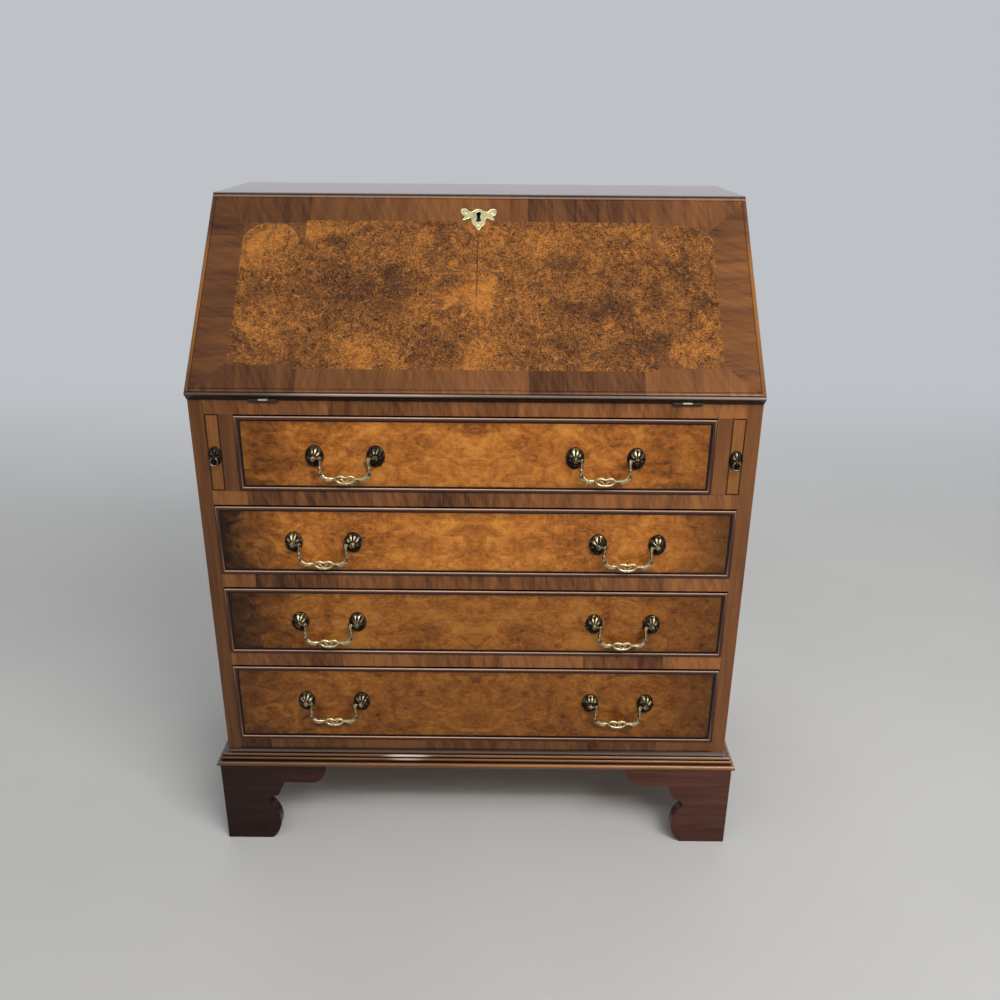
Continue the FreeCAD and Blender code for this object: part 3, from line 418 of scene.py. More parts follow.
def burr(finish, colours, x, s):
    """Burr veneer: fine curls, matched across the centre, over listed clouds."""
    flat = finish.point(abs(x), s, x.step(-1.0, 1.0) * 0.004)
    drift = finish.noise(flat, 30.0, 2.0, 0.6, output="Color")
    curled = finish.root.node("ShaderNodeVectorMath", {"operation": "SCALE"}, {0: drift, "Scale": 0.02})
    moved = finish.root.node("ShaderNodeVectorMath", {"operation": "ADD"}, {0: flat, 1: curled})
    flecks = finish.noise(moved, 260.0, 1.0, 0.5, 1.8)
    curls = finish.noise(moved, 125.0, 1.0, 0.5, 3.0)
    strands = finish.noise(moved, 95.0, 1.0, 0.5, 3.4)
    knots = finish.noise(moved, 60.0, 2.0, 0.55, 1.4)
    clouds = finish.noise(moved, 21.0, 2.0, 0.5, 0.6)
    dark_lines = abs(curls - 0.47).rise(0.0, 0.09) * 0.29
    pale_lines = (1 - abs(strands - 0.53).rise(0.0, 0.06)) * 0.2
    value = flecks.swing(0.4) + knots.swing(0.5) + clouds.swing(0.34) + dark_lines + pale_lines + 0.23
    stray = clouds.swing(0.12)
    for place, reach, gain in BURR_CLOUDS:
        value = value + finish.spot(x + stray, s + stray * 0.6, place, reach) * gain
    dark, middle, light = map(Vector, (colours.burr_dark, colours.burr_middle, colours.burr_light))
    return value, finish.ramp(
        value,
        (0.16, dark * 0.7), (0.34, dark.lerp(middle, 0.42)), (0.5, middle),
        (0.66, middle.lerp(light, 0.55)), (0.88, light),
    )


def burr_field(x, s):
    """Masks of the burr field, of its shaded corners, and of the pale arcs that part the two."""
    wide = abs(x)
    high = abs(s - FIELD_MIDDLE * MM)
    body = wide.within(FIELD_BODY[0], 0.3) * high.within(FIELD_BODY[1], 0.3)
    belt = wide.within(FIELD_BELT[0], 0.3) * high.within(FIELD_BELT[1], 0.3)
    whole = wide.within(FIELD_WHOLE[0], 1.3) * high.within(FIELD_WHOLE[1], 1.5)
    aside = wide - EAR_CENTRE * MM
    outward = aside.most(0.0) / (EAR_OUTWARD * MM)
    inward = aside.least(0.0) / (EAR_INWARD * MM)
    over = (high - FIELD_BELT[1] * MM).most(0.0) / (EAR_RISE * MM)
    reach = (outward ** 2.0 + inward * inward + over ** 2.0) ** 0.5
    lit = body.most(belt).most(1 - reach.rise(0.98, 1.01))
    upper = s.step(150.0, 190.0)
    arc = (1 - abs(reach - 1.0).rise(0.015, 0.045)) * (1 - body) * over.rise(0.1, 0.4) * (upper * 0.8 + 0.1)
    return body.most(whole), whole * (1 - lit) * upper.above(0.55), arc


def fall_border(finish, colours, x, s, t):
    """Crossbanded border of the fall, mitred at its corners: its grain and its picture, the picture with
    painted shade and light from left to right.
    """
    ends = banding(finish, s, x, t, 153.0, 70.0, 4.0).swing(1.3) + 0.5
    sides = banding(finish, x, s, t, 134.0, -20.0, 9.0).swing(1.2) + 0.47
    at_side = (abs(x) - 329.0 * MM) - (abs(s - FIELD_MIDDLE * MM) - 110.0 * MM)
    grain = ends + (sides - ends) * at_side.step(-0.4, 0.4)
    # Painted shade and light: the border darker to the left and brighter to the right
    return grain, finish.shade(band_colour(finish, colours, grain), x * 0.5 + 0.91)


def fall_edges(finish, picture, x, s, t):
    """Pale strips at the ends of the fall, partly lighter edge grain and partly painted highlight, painted
    shade lines beside them, and a painted highlight line and a painted shade line at its top arris.
    """
    # Pale strips on the rounded ends: partly lighter edge grain, partly a painted highlight that fades towards
    # the foot and the top
    edge_grain_and_highlight = s.within(237.5, 37.5) * s.step(10.0, 110.0).above(0.3)
    picture = finish.mix(abs(x).step(374.0, 374.8) * edge_grain_and_highlight * 0.8, picture, linear(150, 98, 44))
    # Dark lines at the steps of the edge moulding: painted shade
    line = abs(abs(x) - END_LINE * MM).least(abs(s - FOOT_LINE * MM)).least(abs(s - HEAD_LINE * MM))
    picture = finish.shade(picture, line.step(0.3, 1.1).above(0.3))
    from_top = FALL_TOP * MM - s
    # Pale line just below the top arris: painted highlight
    top_arris_highlight = from_top.step(2.2, 3.0) * from_top.within(5.7, 0.5) * t.step(16.5, 17.5)
    picture = finish.mix(top_arris_highlight * 0.6, picture, linear(158, 124, 106))
    # Near-black line along the top arris: painted shade of the gap under the top board
    return finish.mix(from_top.within(1.9, 0.4), picture, linear(30, 20, 17))


def fall_finish(colours):
    """Burr field in a crossbanded border, with a centre joint, pale edge strips, a keyhole painted black as
    shade and a dark moulded rim with a painted shade underneath and a painted highlight on its crest.
    """
    finish = Finish("fall_veneer")
    x = finish.x
    s, t = fall_place(finish)
    field, corners, arcs = burr_field(x, s)
    figure, burr_picture = burr(finish, colours, x, s)
    seam = abs(x + 0.5 * MM).within(0.7, 0.4) * s.step(145.0, 150.0) * s.within(254.0, 2.0)
    burr_picture = finish.shade(burr_picture, 1 - seam * 0.75)
    grain, border = fall_border(finish, colours, x, s, t)
    faint = finish.mix(0.62, finish.shade(burr_picture, 0.78), border)
    picture = finish.mix(corners, burr_picture, faint)
    broken = finish.noise(finish.point(x, s, 1.3), 40.0, 2.0).rise(0.4, 0.6)
    picture = finish.mix(arcs * (broken * 0.7 + 0.1), picture, linear(172, 118, 62))
    picture = fall_edges(finish, finish.mix(field, border, picture), x, s, t)
    nose = s.within(1.3, 0.3)
    rim = nose.most(abs(x).step(380.0, 380.6))
    # Painted highlight along the crest of the nose, strongest left of the centre
    lit = x.step(-300.0, -170.0) * (1 - x.step(-100.0, 20.0) * 0.65) * 0.8
    crest = t.step(11.0, 15.4) * t.within(17.9, 0.5) * nose
    crest = crest * (lit + x.step(170.0, 340.0) * 0.3 + 0.2)
    # Underside of the nose painted near black as shade, its upper part stained dark brown
    rim_shade_and_highlight = finish.mix(t.step(15.8, 17.2), linear(18, 12, 11), linear(62, 46, 38))
    rim_shade_and_highlight = finish.mix(crest * 0.9, rim_shade_and_highlight, linear(214, 196, 180))
    picture = finish.mix(rim * 0.95, picture, rim_shade_and_highlight)
    # Keyhole painted black as the shade of the hole
    keyhole_shade = abs(x).within(3.6, 0.2) * abs(s - KEYHOLE_MIDDLE * MM).within(9.5, 0.5)
    picture = finish.mix(keyhole_shade, picture, linear(12, 9, 8))
    plain = band_colour(finish, colours, streaks(finish, x, s, t))
    picture = finish.mix(t.within(12.2, 0.2) * (1 - rim), picture, plain)
    rough = finish.noise(finish.place, 7.0, 2.0) * 0.08 + figure * 0.05 + 0.2 - rim * 0.04
    normal = finish.bump(figure * field + grain * 0.5, 0.05, 0.4)
    return finish.polished(
        base_color=picture, roughness=rough, normal=normal, coat_weight=crest * 0.3 + SATIN_COAT
    )


# Finishes of the drawers and the carcass. How bright the veneer of each drawer front is, from the top
# drawer down, and its two ends: partly the veneer's own tone, partly painted shade that darkens the lower
# drawers and the left ends
FRONT_TONE_AND_SHADE = {1: (0.96, 0.52, 0.62), 2: (0.99, 0.04, 0.25), 3: (0.65, 0.09, 0.5), 4: (0.56, 0.49, 0.47)}


def front_finish(colours, number):
    """Golden figured veneer of one drawer front, matched at its centre and darker towards its ends and edges,
    partly as painted shade.
    """
    finish = Finish("front_veneer_%d" % number)
    low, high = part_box("drawer_%d_front" % number)
    middle, half = (low + high) / 2, (high - low) / 2
    x, z = finish.x, finish.z - middle.z
    seed = 7.3 * number
    tone, left_tone, right_tone = FRONT_TONE_AND_SHADE[number]
    flat = finish.point(abs(x) + x * 0.06, z * 1.2, seed)
    clouds = finish.noise(flat, 11.0, 2.0, 0.55, 0.6)
    blotches = finish.noise(flat, 34.0, 3.0, 0.62, 1.4)
    mottle = finish.noise(flat, 78.0, 3.0, 0.62, 1.6)
    flecks = finish.noise(flat, 240.0, 3.0, 0.65, 1.2)
    pores = finish.noise(finish.point(x * 40.0, z * 640.0, seed), 1.0, 2.0)
    figure = clouds.swing(0.6) + blotches.swing(0.85) + mottle.swing(0.5)
    figure = figure + flecks.swing(0.42) + pores.swing(0.2) + 0.5
    dark, gold, light = map(Vector, (colours.gold_dark, colours.gold_middle, colours.gold_light))
    picture = finish.ramp(
        figure,
        (0.16, dark * 0.85), (0.34, dark.lerp(gold, 0.5)), (0.5, gold),
        (0.66, gold.lerp(light, 0.5)), (0.88, light),
    )
    stray = blotches.swing(0.06)
    # Darker towards the ends and edges, and per drawer as listed: partly the veneer's own tone, partly painted
    # shade
    from_left = (x + (half.x + stray)).step(-10.0, 140.0)
    from_right = ((half.x - stray) - x).step(-10.0, 120.0)
    from_edge = (half.z - abs(z) + stray * 0.2).step(3.0, 20.0)
    shade = from_left.above(left_tone) * from_right.above(right_tone)
    picture = finish.shade(picture, shade * from_edge.above(0.74) * tone)
    return finish.polished(
        base_color=picture, roughness=clouds * 0.1 + 0.22, normal=finish.bump(figure, 0.04)
    )


# Lowest rail in millimetres from the floor: the line of painted shade at its foot, and its top, below which
# the rail is painted darker as shade
RAIL_FOOT, RAIL_TOP = (164.5, 166.5), (181.0, 184.0)
# Width of the line of painted shade along the lower and the upper edge of a bead
LINE_WIDTHS = (1.9, 1.5)


def rail_finish(colours):
    """Crossbanded rails, with the grain upright and a joint here and there, painted shade along the beads and
    at the foot, and painted shade and light from left to right.
    """
    finish = Finish("rail_banding")
    row = (finish.z / (60.0 * MM)).floor()
    value = banding(finish, finish.z, finish.x, finish.y, 118.0, 40.0, row * 3.0 + 2.0)
    picture = band_colour(finish, colours, value.swing(1.9) + 0.61)
    # Painted shade: a line at the foot, the lowest rail darker below its top, and lines beside each bead
    line = finish.z.step(*RAIL_FOOT).above(0.25)
    over = finish.z.step(*RAIL_TOP)
    for number in DRAWERS:
        for corner, width in zip(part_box("drawer_%d_cock_bead" % number), LINE_WIDTHS):
            line = line.least(abs(finish.z - corner.z).step(width * 0.6, width).above(0.15))
    behind = (finish.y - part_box("drawer_rails")[0].y).step(1.0, 2.0)
    # Also painted shade to the left and painted light to the right
    picture = finish.shade(picture, (line * over.above(0.6)).most(behind) * (finish.x * 0.35 + 1.0))
    return finish.polished(
        base_color=picture, roughness=finish.noise(finish.place, 9.0) * 0.1 + 0.24,
        normal=finish.bump(value, 0.05), coat_weight=over.above(0.3) * SATIN_COAT,
    )


def upright_finish(colours, name):
    """Veneer with upright grain for the sides and the uprights, with painted shade to the left and painted
    light to the right.
    """
    finish = Finish(name)
    value = streaks(finish, finish.z, finish.x * 1.7, finish.y * 0.5, 60.0, 380.0)
    clouds = finish.noise(finish.point(finish.x * 3.0, finish.y * 3.0, finish.z), 3.0, 3.0, 0.6, 1.0)
    value = value * 0.8 + clouds.swing(0.45) + 0.1
    # Painted shade to the left and painted light to the right
    picture = finish.shade(band_colour(finish, colours, value + 0.02), finish.x * 0.5 + 0.96)
    return finish.polished(
        base_color=picture, roughness=clouds * 0.1 + 0.22, normal=finish.bump(value, 0.05)
    )


def level_grain(finish):
    """Grain from side to side: its streaks and its clouds."""
    value = streaks(finish, finish.x, finish.y, finish.z, 60.0, 380.0)
    return value, finish.noise(finish.point(finish.x, finish.y * 3.0, finish.z), 4.0, 3.0, 0.6, 1.0)


def gallery_finish(colours):
    """Veneer with the grain from side to side, for the inside of the gallery."""
    finish = Finish("gallery_veneer")
    value, clouds = level_grain(finish)
    value = value * 0.8 + clouds.swing(0.4) + 0.1
    return finish.polished(
        base_color=band_colour(finish, colours, value + 0.1), roughness=clouds * 0.06 + 0.17,
        normal=finish.bump(value, 0.03),
    )


def top_finish(colours):
    """Bright polished top with a dark front edge."""
    finish = Finish("top_veneer")
    value, clouds = level_grain(finish)
    picture = band_colour(finish, colours, value * 0.8 + clouds.swing(0.4) + 0.1)
    front = (finish.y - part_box("top_board")[0].y).within(20.0, 0.5)
    return finish.done(
        base_color=finish.shade(picture, 1 - front * 0.55), roughness=clouds * 0.05 + 0.09,
        normal=finish.bump(value, 0.02), specular_ior_level=0.4, coat_weight=0.5, coat_roughness=0.05,
    )


def foot_finish(colours):
    """Dark polished walnut of the feet, with painted shade on the left and towards the floor and painted light
    on the right.
    """
    finish = Finish("foot_walnut")
    value = streaks(finish, finish.x, finish.z, finish.y)
    picture = finish.tones(value, colours.foot_wood, (0.25, 0.5), (0.5, 1.0), (0.75, 1.6))
    # Painted shade on the left and painted light on the right, eased on the faces behind the front
    across = finish.x * 1.75 + 1.05
    behind = (finish.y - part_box("foot_front_left")[0].y).step(8.0, 30.0) * 0.7
    # Painted shade towards the floor
    floor_shade = finish.z.step(0.0, 90.0).above(0.7)
    return finish.polished(
        base_color=finish.shade(picture, (across + (1.0 - across) * behind) * floor_shade),
        roughness=value * 0.1 + 0.22, normal=finish.bump(value, 0.04),
        coat_weight=finish.x.step(-400.0, 200.0) * SATIN_COAT,
    )


# Base moulding in millimetres: radius of its lowest round, the fillet over it, its two reeds, each with
# how far out it starts and reaches and the height of its foot, and the cove under the carcass
ROUND_RADIUS = 4.25
FILLET_OUT, FILLET_TOP = 11.0, 9.5
REEDS = ((8.3, 11.0, 9.5), (6.3, 9.0, 14.9))
REED_RADIUS = 2.7
COVE_OUT, COVE_FOOT = 4.6, 20.3
# Middle of its two grooves
GROOVES = (9.1, 14.9)


def moulding_finish(colours):
    """Polished reeds with painted shade in the grooves, painted light on the faces that look up, painted shade
    and light from left to right, and painted highlights on the cove and the upper reed.
    """
    finish = Finish("moulding_walnut")
    rise = finish.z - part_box("base_moulding")[0].z
    value = streaks(finish, finish.x, finish.y, finish.z)
    picture = finish.tones(value, colours.moulding_wood, (0.25, 0.6), (0.5, 1.0), (0.75, 1.4))
    # Painted shade in the grooves, at the foot of the cove and under the lowest round
    lower, upper = (abs(rise - height * MM) for height in GROOVES)
    groove_shade = lower.step(0.5, 1.3).least(rise.within(19.8, 0.4)).least(upper.step(0.3, 1.2))
    groove_shade = groove_shade.least(rise.step(0.6, 2.4))
    # Painted light on faces that look up, painted shade to the left and painted light to the right
    shade = groove_shade.above(0.1) * (finish.facing(2).rise(-0.1, 0.6) * 0.62 + 0.5)
    picture = finish.shade(picture, shade * (finish.x + 0.93))
    # Pale line on the cove: painted highlight
    ledge_highlight = rise.step(20.6, 21.2) * rise.within(22.5, 0.3)
    picture = finish.mix(ledge_highlight * 0.6, picture, linear(104, 84, 72))
    # Glint on the upper reed: painted highlight
    glint = finish.spot(finish.x, rise, (-106.0, 17.5), (52.0, 9.0)) * groove_shade
    picture = finish.mix(glint.rise(0.0, 0.8) * 0.75, picture, linear(226, 212, 198))
    return finish.done(
        base_color=picture, roughness=value * 0.1 + 0.15, normal=finish.bump(value, 0.04),
        specular_ior_level=0.35, coat_weight=0.15, coat_roughness=0.07,
    )


def bead_finish(colours):
    """Stained cock bead, pale along the upper crest of its level runs, partly wear and partly painted
    highlight, and painted black as shade where it meets the front.
    """
    finish = Finish("bead_walnut")
    out = FRONT_Y - finish.y
    value = streaks(finish, finish.x, finish.z, finish.y)
    # Pale upper crest of the level runs: partly wear, partly painted highlight
    worn = out.step(1.8, 2.7) * finish.facing(2).rise(0.0, 0.5)
    base = Vector(colours.bead_wood)
    # Black where the bead meets the front and behind it: painted shade
    crease_shade = out.step(0.6, 2.2).most((finish.y - FRONT_Y).step(1.0, 3.0))
    picture = finish.mix(crease_shade, base * 0.16, base)
    # Brighter round a place left of the centre: painted highlight
    highlight_spot = abs(finish.x + 80.0 * MM).within(105.0, 105.0) * 0.4 + 0.78
    picture = finish.mix(worn * highlight_spot, picture, linear(224, 184, 156))
    return finish.done(
        base_color=finish.shade(picture, value * 0.6 + 0.7), roughness=value * 0.1 + 0.14,
        normal=finish.bump(value, 0.04), specular_ior_level=0.25, coat_weight=0.1, coat_roughness=0.07,
    )


def loper_finish(colours, side):
    """Loper front with a line of painted shade where it meets the stiles, and painted light towards the right.
    """
    finish = Finish("loper_walnut_" + side)
    low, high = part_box("loper_" + side)
    middle, half = (low + high) / 2, (high - low) / 2
    value = streaks(finish, finish.z, finish.x, finish.y * 0.5, 60.0, 380.0)
    picture = finish.mix(0.35, band_colour(finish, colours, value * 0.8 + 0.16), linear(140, 90, 34))
    across = half.x - abs(finish.x - middle.x)
    up = half.z - abs(finish.z - middle.z)
    # Line of painted shade in the gap beside the stiles, and painted light towards the right
    joint = across.least(up).step(0.7, 1.9).most((finish.y - low.y).step(2.0, 3.0))
    picture = finish.shade(picture, joint.above(0.12) * (finish.x * 0.3 + 1.1))
    return finish.polished(
        base_color=picture, roughness=value * 0.1 + 0.22, normal=finish.bump(value, 0.05)
    )


def lining_finish(colours):
    """Plain waxed boards of the inside, with the grain of their sides running back."""
    finish = Finish("lining_boards")
    side = abs(finish.facing(0)).rise(0.4, 0.6)
    value = streaks(finish, finish.x, finish.y, finish.z, 90.0, 520.0)
    value = value + (streaks(finish, finish.y, finish.z, finish.x, 90.0, 520.0) - value) * side
    dust = finish.noise(finish.place, 5.0, 3.0, 0.6)
    mottle = value * 0.8 + dust * 0.3 - 0.05
    picture = finish.tones(mottle, colours.lining_wood, (0.3, 0.6), (0.52, 1.0), (0.75, 1.25))
    return finish.done(base_color=picture, roughness=value * 0.1 + 0.55, normal=finish.bump(value, 0.15))


# Finishes of the metalwork and the leather
def cast_brass(colours, name, light=None):
    """Cast brass, dark in its hollows, bright where hands have worn it and bright as painted light on its
    upper and front sides.
    """
    finish = Finish(name)
    # The marks hold both wear and painted light
    worn = finish.root.node("ShaderNodeAttribute", {"attribute_name": "worn"}, output="Fac")
    specks = finish.noise(finish.place, 620.0, 3.0, 0.65)
    patches = finish.noise(finish.place, 170.0, 2.0)
    value = worn + specks.swing(0.85) + patches.swing(0.85)
    dark, bright = Vector(colours.brass_dark), Vector(light or colours.brass_light)
    picture = finish.ramp(
        value, (0.08, dark * 0.4), (0.32, dark), (0.48, dark.lerp(bright, 0.4)),
        (0.62, dark.lerp(bright, 0.9)), (0.85, bright * 1.15),
    )
    normal = finish.bump(specks, 0.35, 0.4)
    return finish.done(base_color=picture, metallic=0.85, roughness=0.52 - value * 0.28, normal=normal)


def scratches(finish, coarse, fine):
    """Scratches that are drawn out from side to side and up, and fine from front to back."""
    return finish.noise(finish.point(finish.x * coarse, finish.y * fine, finish.z * coarse), 1.0, 2.0)


def plate_brass(name, ground):
    """Polished sheet brass with light scratches and tarnish."""
    finish = Finish(name)
    tarnish = finish.noise(finish.place, 130.0, 3.0, 0.6)
    picture = finish.tones(tarnish, ground, (0.3, 0.62), (0.5, 0.92), (0.7, 1.0))
    normal = finish.bump(scratches(finish, 300.0, 2400.0), 0.05, 0.1)
    return finish.done(base_color=picture, metallic=0.85, roughness=tarnish * 0.25 + 0.22, normal=normal)


def hinge_finish():
    """Tarnished brass of the hinges, painted darker as shade, with a painted highlight in a line along the
    knuckles.
    """
    finish = Finish("hinge_brass")
    up = finish.facing(2)
    tarnish = finish.noise(finish.place, 130.0, 3.0, 0.6)
    # Painted highlight along the knuckles where they face up and forward
    knuckle_highlight = up.rise(0.3, 0.42) * (1 - up.rise(0.46, 0.56))
    # Tarnish made darker still as painted shade
    picture = finish.ramp(tarnish, (0.3, linear(34, 24, 18)), (0.7, linear(58, 44, 30)))
    picture = finish.mix(knuckle_highlight * 0.7, picture, linear(206, 200, 190))
    return finish.done(base_color=picture, metallic=0.3, roughness=tarnish * 0.2 + 0.45)


def steel_finish(colours):
    """Filed steel of the bolt."""
    finish = Finish("filed_steel")
    files = scratches(finish, 200.0, 2600.0)
    picture = finish.tones(files, colours.steel, (0.3, 0.7), (0.7, 1.0))
    normal = finish.bump(files, 0.1, 0.1)
    return finish.done(base_color=picture, metallic=1.0, roughness=files * 0.2 + 0.3, normal=normal)


# Leather in millimetres: its lower and upper edge up the slope, half its width, and its two gilt lines,
# each with how far in it runs, half its width and how soft its edge is
HIDE_LOW, HIDE_HIGH, HIDE_HALF = 30.0, 255.0, 319.0
GILT_LINES = ((12.0, 0.7, 0.2), (16.0, 0.35, 0.15))


def hide_finish(colours):
    """Grained leather with two gilt lines round its edge."""
    finish = Finish("writing_hide")
    s = fall_place(finish)[0]
    grain = finish.cells(finish.place, 900.0)
    folds = finish.noise(finish.place, 60.0, 3.0, 0.6)
    inset = (HIDE_HALF * MM - abs(finish.x)).least(s - HIDE_LOW * MM).least(HIDE_HIGH * MM - s)
    broad, fine = (abs(inset - place * MM).within(half, soft) for place, half, soft in GILT_LINES)
    gilt = broad.most(fine)
    picture = finish.tones(folds, colours.hide, (0.3, 0.7), (0.7, 1.2))
    picture = finish.mix(gilt * finish.noise(finish.place, 400.0).above(0.4), picture, linear(190, 150, 70))
    normal = finish.bump(grain - gilt * 0.4, 0.25, 0.2)
    return finish.done(base_color=picture, roughness=folds * 0.1 + 0.42, normal=normal)


# Mesh making
def turns(steps):
    """Angles of one even turn."""
    return [2 * math.pi * step / steps for step in range(steps)]


def bridge(mesh, rings, closed):
    """Faces between rows of points, and ends if the run is open."""
    pairs = list(zip(rings, rings[1:]))
    if closed:
        pairs.append((rings[-1], rings[0]))
    for lower, upper in pairs:
        for number, vert in enumerate(lower):
            after = (number + 1) % len(lower)
            mesh.faces.new((vert, lower[after], upper[after], upper[number]))
    if not closed:
        mesh.faces.new(list(reversed(rings[0])))
        mesh.faces.new(rings[-1])


def add_rings(mesh, rings, layer=None, worn=None):
    """Skin a row of rings of equally many points, and mark each point's wear and painted light."""
    made = []
    for index, ring in enumerate(rings):
        row = [mesh.verts.new(point) for point in ring]
        if layer is not None:
            for vert, mark in zip(row, worn[index]):
                vert[layer] = mark
        made.append(row)
    bridge(mesh, made, False)


def finish_mesh(mesh, name, sharp=40.0):
    """Turn a bmesh into mesh data with smooth faces and sharp arrises."""
    bmesh.ops.recalc_face_normals(mesh, faces=mesh.faces)
    data = bpy.data.meshes.new(name)
    mesh.to_mesh(data)
    mesh.free()
    data.polygons.foreach_set("use_smooth", [True] * len(data.polygons))
    data.set_sharp_from_angle(angle=math.radians(sharp))
    return data


def place_piece(name, data, body, material, node, where=None):
    """Put a piece in the scene, on its body, in its finish and in place of a packed one."""
    if not data.materials:
        data.materials.append(material)
    piece = bpy.data.objects.new(name, data)
    if where is not None:
        piece.location = where
    bpy.context.scene.collection.objects.link(piece)
    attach(piece, body)
    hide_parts(node)


def half_round(start, bulge, end, facets):
    """Points of a half-round bead from one place to another."""
    middle = [(start[k] + end[k]) / 2 for k in (0, 1)]
    points = []
    for step in range(facets + 1):
        angle = math.pi * step / facets
        points.append(tuple(
            middle[k] + (start[k] - middle[k]) * math.cos(angle) + (bulge[k] - middle[k]) * math.sin(angle)
            for k in (0, 1)
        ))
    return points


def rounded_path(points, steps):
    """Smooth line through points, each a place and a radius."""
    line = []
    for index in range(len(points) - 1):
        before = points[max(index - 1, 0)]
        start, end = points[index], points[index + 1]
        after = points[min(index + 2, len(points) - 1)]
        for step in range(steps):
            share = step / steps
            line.append(tuple(
                0.5 * (
                    2 * start[k] + (end[k] - before[k]) * share
                    + (2 * before[k] - 5 * start[k] + 4 * end[k] - after[k]) * share ** 2
                    + (3 * start[k] - before[k] - 3 * end[k] + after[k]) * share ** 3
                )
                for k in range(4)
            ))
    line.append(tuple(points[-1]))
    return line


# Brassware. Hands rub the part of a bail below this level brighter
HAND_LEVEL, HAND_GAIN = -24.0 * MM, 0.12


def new_casting():
    """Empty bmesh with the layer that marks where hands wear the brass and where painted light brightens it.
    """
    mesh = bmesh.new()
    return mesh, mesh.verts.layers.float.new("worn")


def sweep(mesh, layer, points, steps=6, sides=12, ribs=0, rib_depth=0.0, depth_share=1.0, pulse=0.0):
    """Cast rod along a smooth line, with ribs along it and a slow swell if asked."""
    line = rounded_path(points, steps)
    rings, worn = [], []
    last = len(line) - 1
    for index, (x, y, z, radius) in enumerate(line):
        before = Vector(line[max(index - 1, 0)][:3])
        after = Vector(line[min(index + 1, last)][:3])
        along = (after - before).normalized()
        out = Vector((0.0, -1.0, 0.0))
        across = along.cross(out).normalized()
        out = across.cross(along).normalized()
        ring, marks = [], []
        swell = 1.0 + pulse * math.sin(index * 1.9)
        gain = HAND_GAIN if z < HAND_LEVEL else 0.0
        for angle in turns(sides):
            rib = rib_depth * math.cos(ribs * angle)
            reach = radius * swell * (1.0 + rib)
            point = Vector((x, y, z)) + across * (reach * math.cos(angle))
            ring.append(point + out * (reach * depth_share * math.sin(angle)))
            facing = (across * math.cos(angle) + out * math.sin(angle)).normalized()
            # Sides that face the front and up marked brighter: partly wear, partly painted light
            worn_and_lit_side = 0.34 * max(-facing.y, 0.0) + 0.46 * max(facing.z, 0.0)
            marks.append(0.16 + gain + worn_and_lit_side + 2.2 * rib + swell - 1.0)
        rings.append(ring)
        worn.append(marks)
    add_rings(mesh, rings, layer, worn)


def add_pin(mesh, layer, ends, radius, sides=12):
    """Plain pin along X through the pivot."""
    rings = [
        [Vector((x, radius * math.sin(angle), radius * math.cos(angle))) for angle in turns(sides)]
        for x in ends
    ]
    add_rings(mesh, rings, layer, [[0.4] * sides] * len(rings))


def oval_point(centre, wide, high, out, angle):
    """Point of an upright oval that stands out towards the front."""
    return centre + Vector((wide * math.cos(angle), -out, high * math.sin(angle)))


def add_turning(mesh, layer, centre, profile, sides, worn=0.6):
    """Turning that stands out towards the front: each row is a distance out and a radius."""
    rings = [
        [oval_point(centre, radius, radius, out, angle) for angle in turns(sides)] for out, radius in profile
    ]
    add_rings(mesh, rings, layer, [[worn] * sides] * len(rings))


# Post of a rosette: each row is a share of the reach of the dome or of the post, and of its radius
POST_FOOT = ((0.8, 0.9), (0.99, 0.92), (1.04, 0.7))
POST_HEAD = ((0.76, 0.74), (0.82, 0.95), (0.9, 1.0), (0.95, 0.82), (0.985, 0.5), (1.0, 0.16))
# First petal of a rosette, in radians from the right
PETAL_START = 0.2


def add_rosette(mesh, layer, centre, size, petals, post, patina=1.0):
    """Oval domed rosette: petals from a boss to a thin raised rim, and the post in its middle."""
    width, height, depth = size
    post_radius, reach = post
    sides = petals * 8
    rows = 16
    rings = [[oval_point(centre, width / 2, height / 2, 0.0, turn) for turn in turns(sides)]]
    worn = [[0.2] * sides]
    for row in range(rows):
        share = 1.0 - row / rows
        dome = 0.17 + 0.83 * (1.0 - share ** 2.3)
        rim = max(1.0 - abs(share - 0.95) / 0.07, 0.0)
        carved = math.sin(math.pi * min(max((share - 0.2) / 0.72, 0.0), 1.0)) ** 0.6
        ring, marks = [], []
        for turn in turns(sides):
            angle = turn + PETAL_START
            petal = abs(math.cos(petals * angle / 2)) ** 0.75
            lucky = math.sin(5.3 * round(petals * angle / (2 * math.pi)) + 900 * centre.x + 700 * centre.z)
            out = depth * (dome - 0.26 * carved * (1.0 - petal) + 0.06 * rim)
            wide = share * (1.0 - 0.045 * (1.0 - petal) * (share > 0.85))
            ring.append(oval_point(centre, width / 2 * wide, height / 2 * wide, out, turn))
            # Petal crests marked brighter, the upper half more: wear on the crests, painted light on the upper
            # half
            crest = petal * carved * (0.62 + 0.38 * math.sin(turn))
            shine = 0.46 * (1 + 0.45 * lucky) * crest ** 1.8
            marks.append((0.15 + shine + 0.22 * rim + 0.25 * max(0.3 - share, 0.0)) * patina)
        rings.append(ring)
        worn.append(marks)
    add_rings(mesh, rings, layer, worn)
    profile = [(depth * out, post_radius * wide) for out, wide in POST_FOOT]
    profile += [(reach * out, post_radius * wide) for out, wide in POST_HEAD]
    add_turning(mesh, layer, centre, profile, 20, 0.42 * patina)


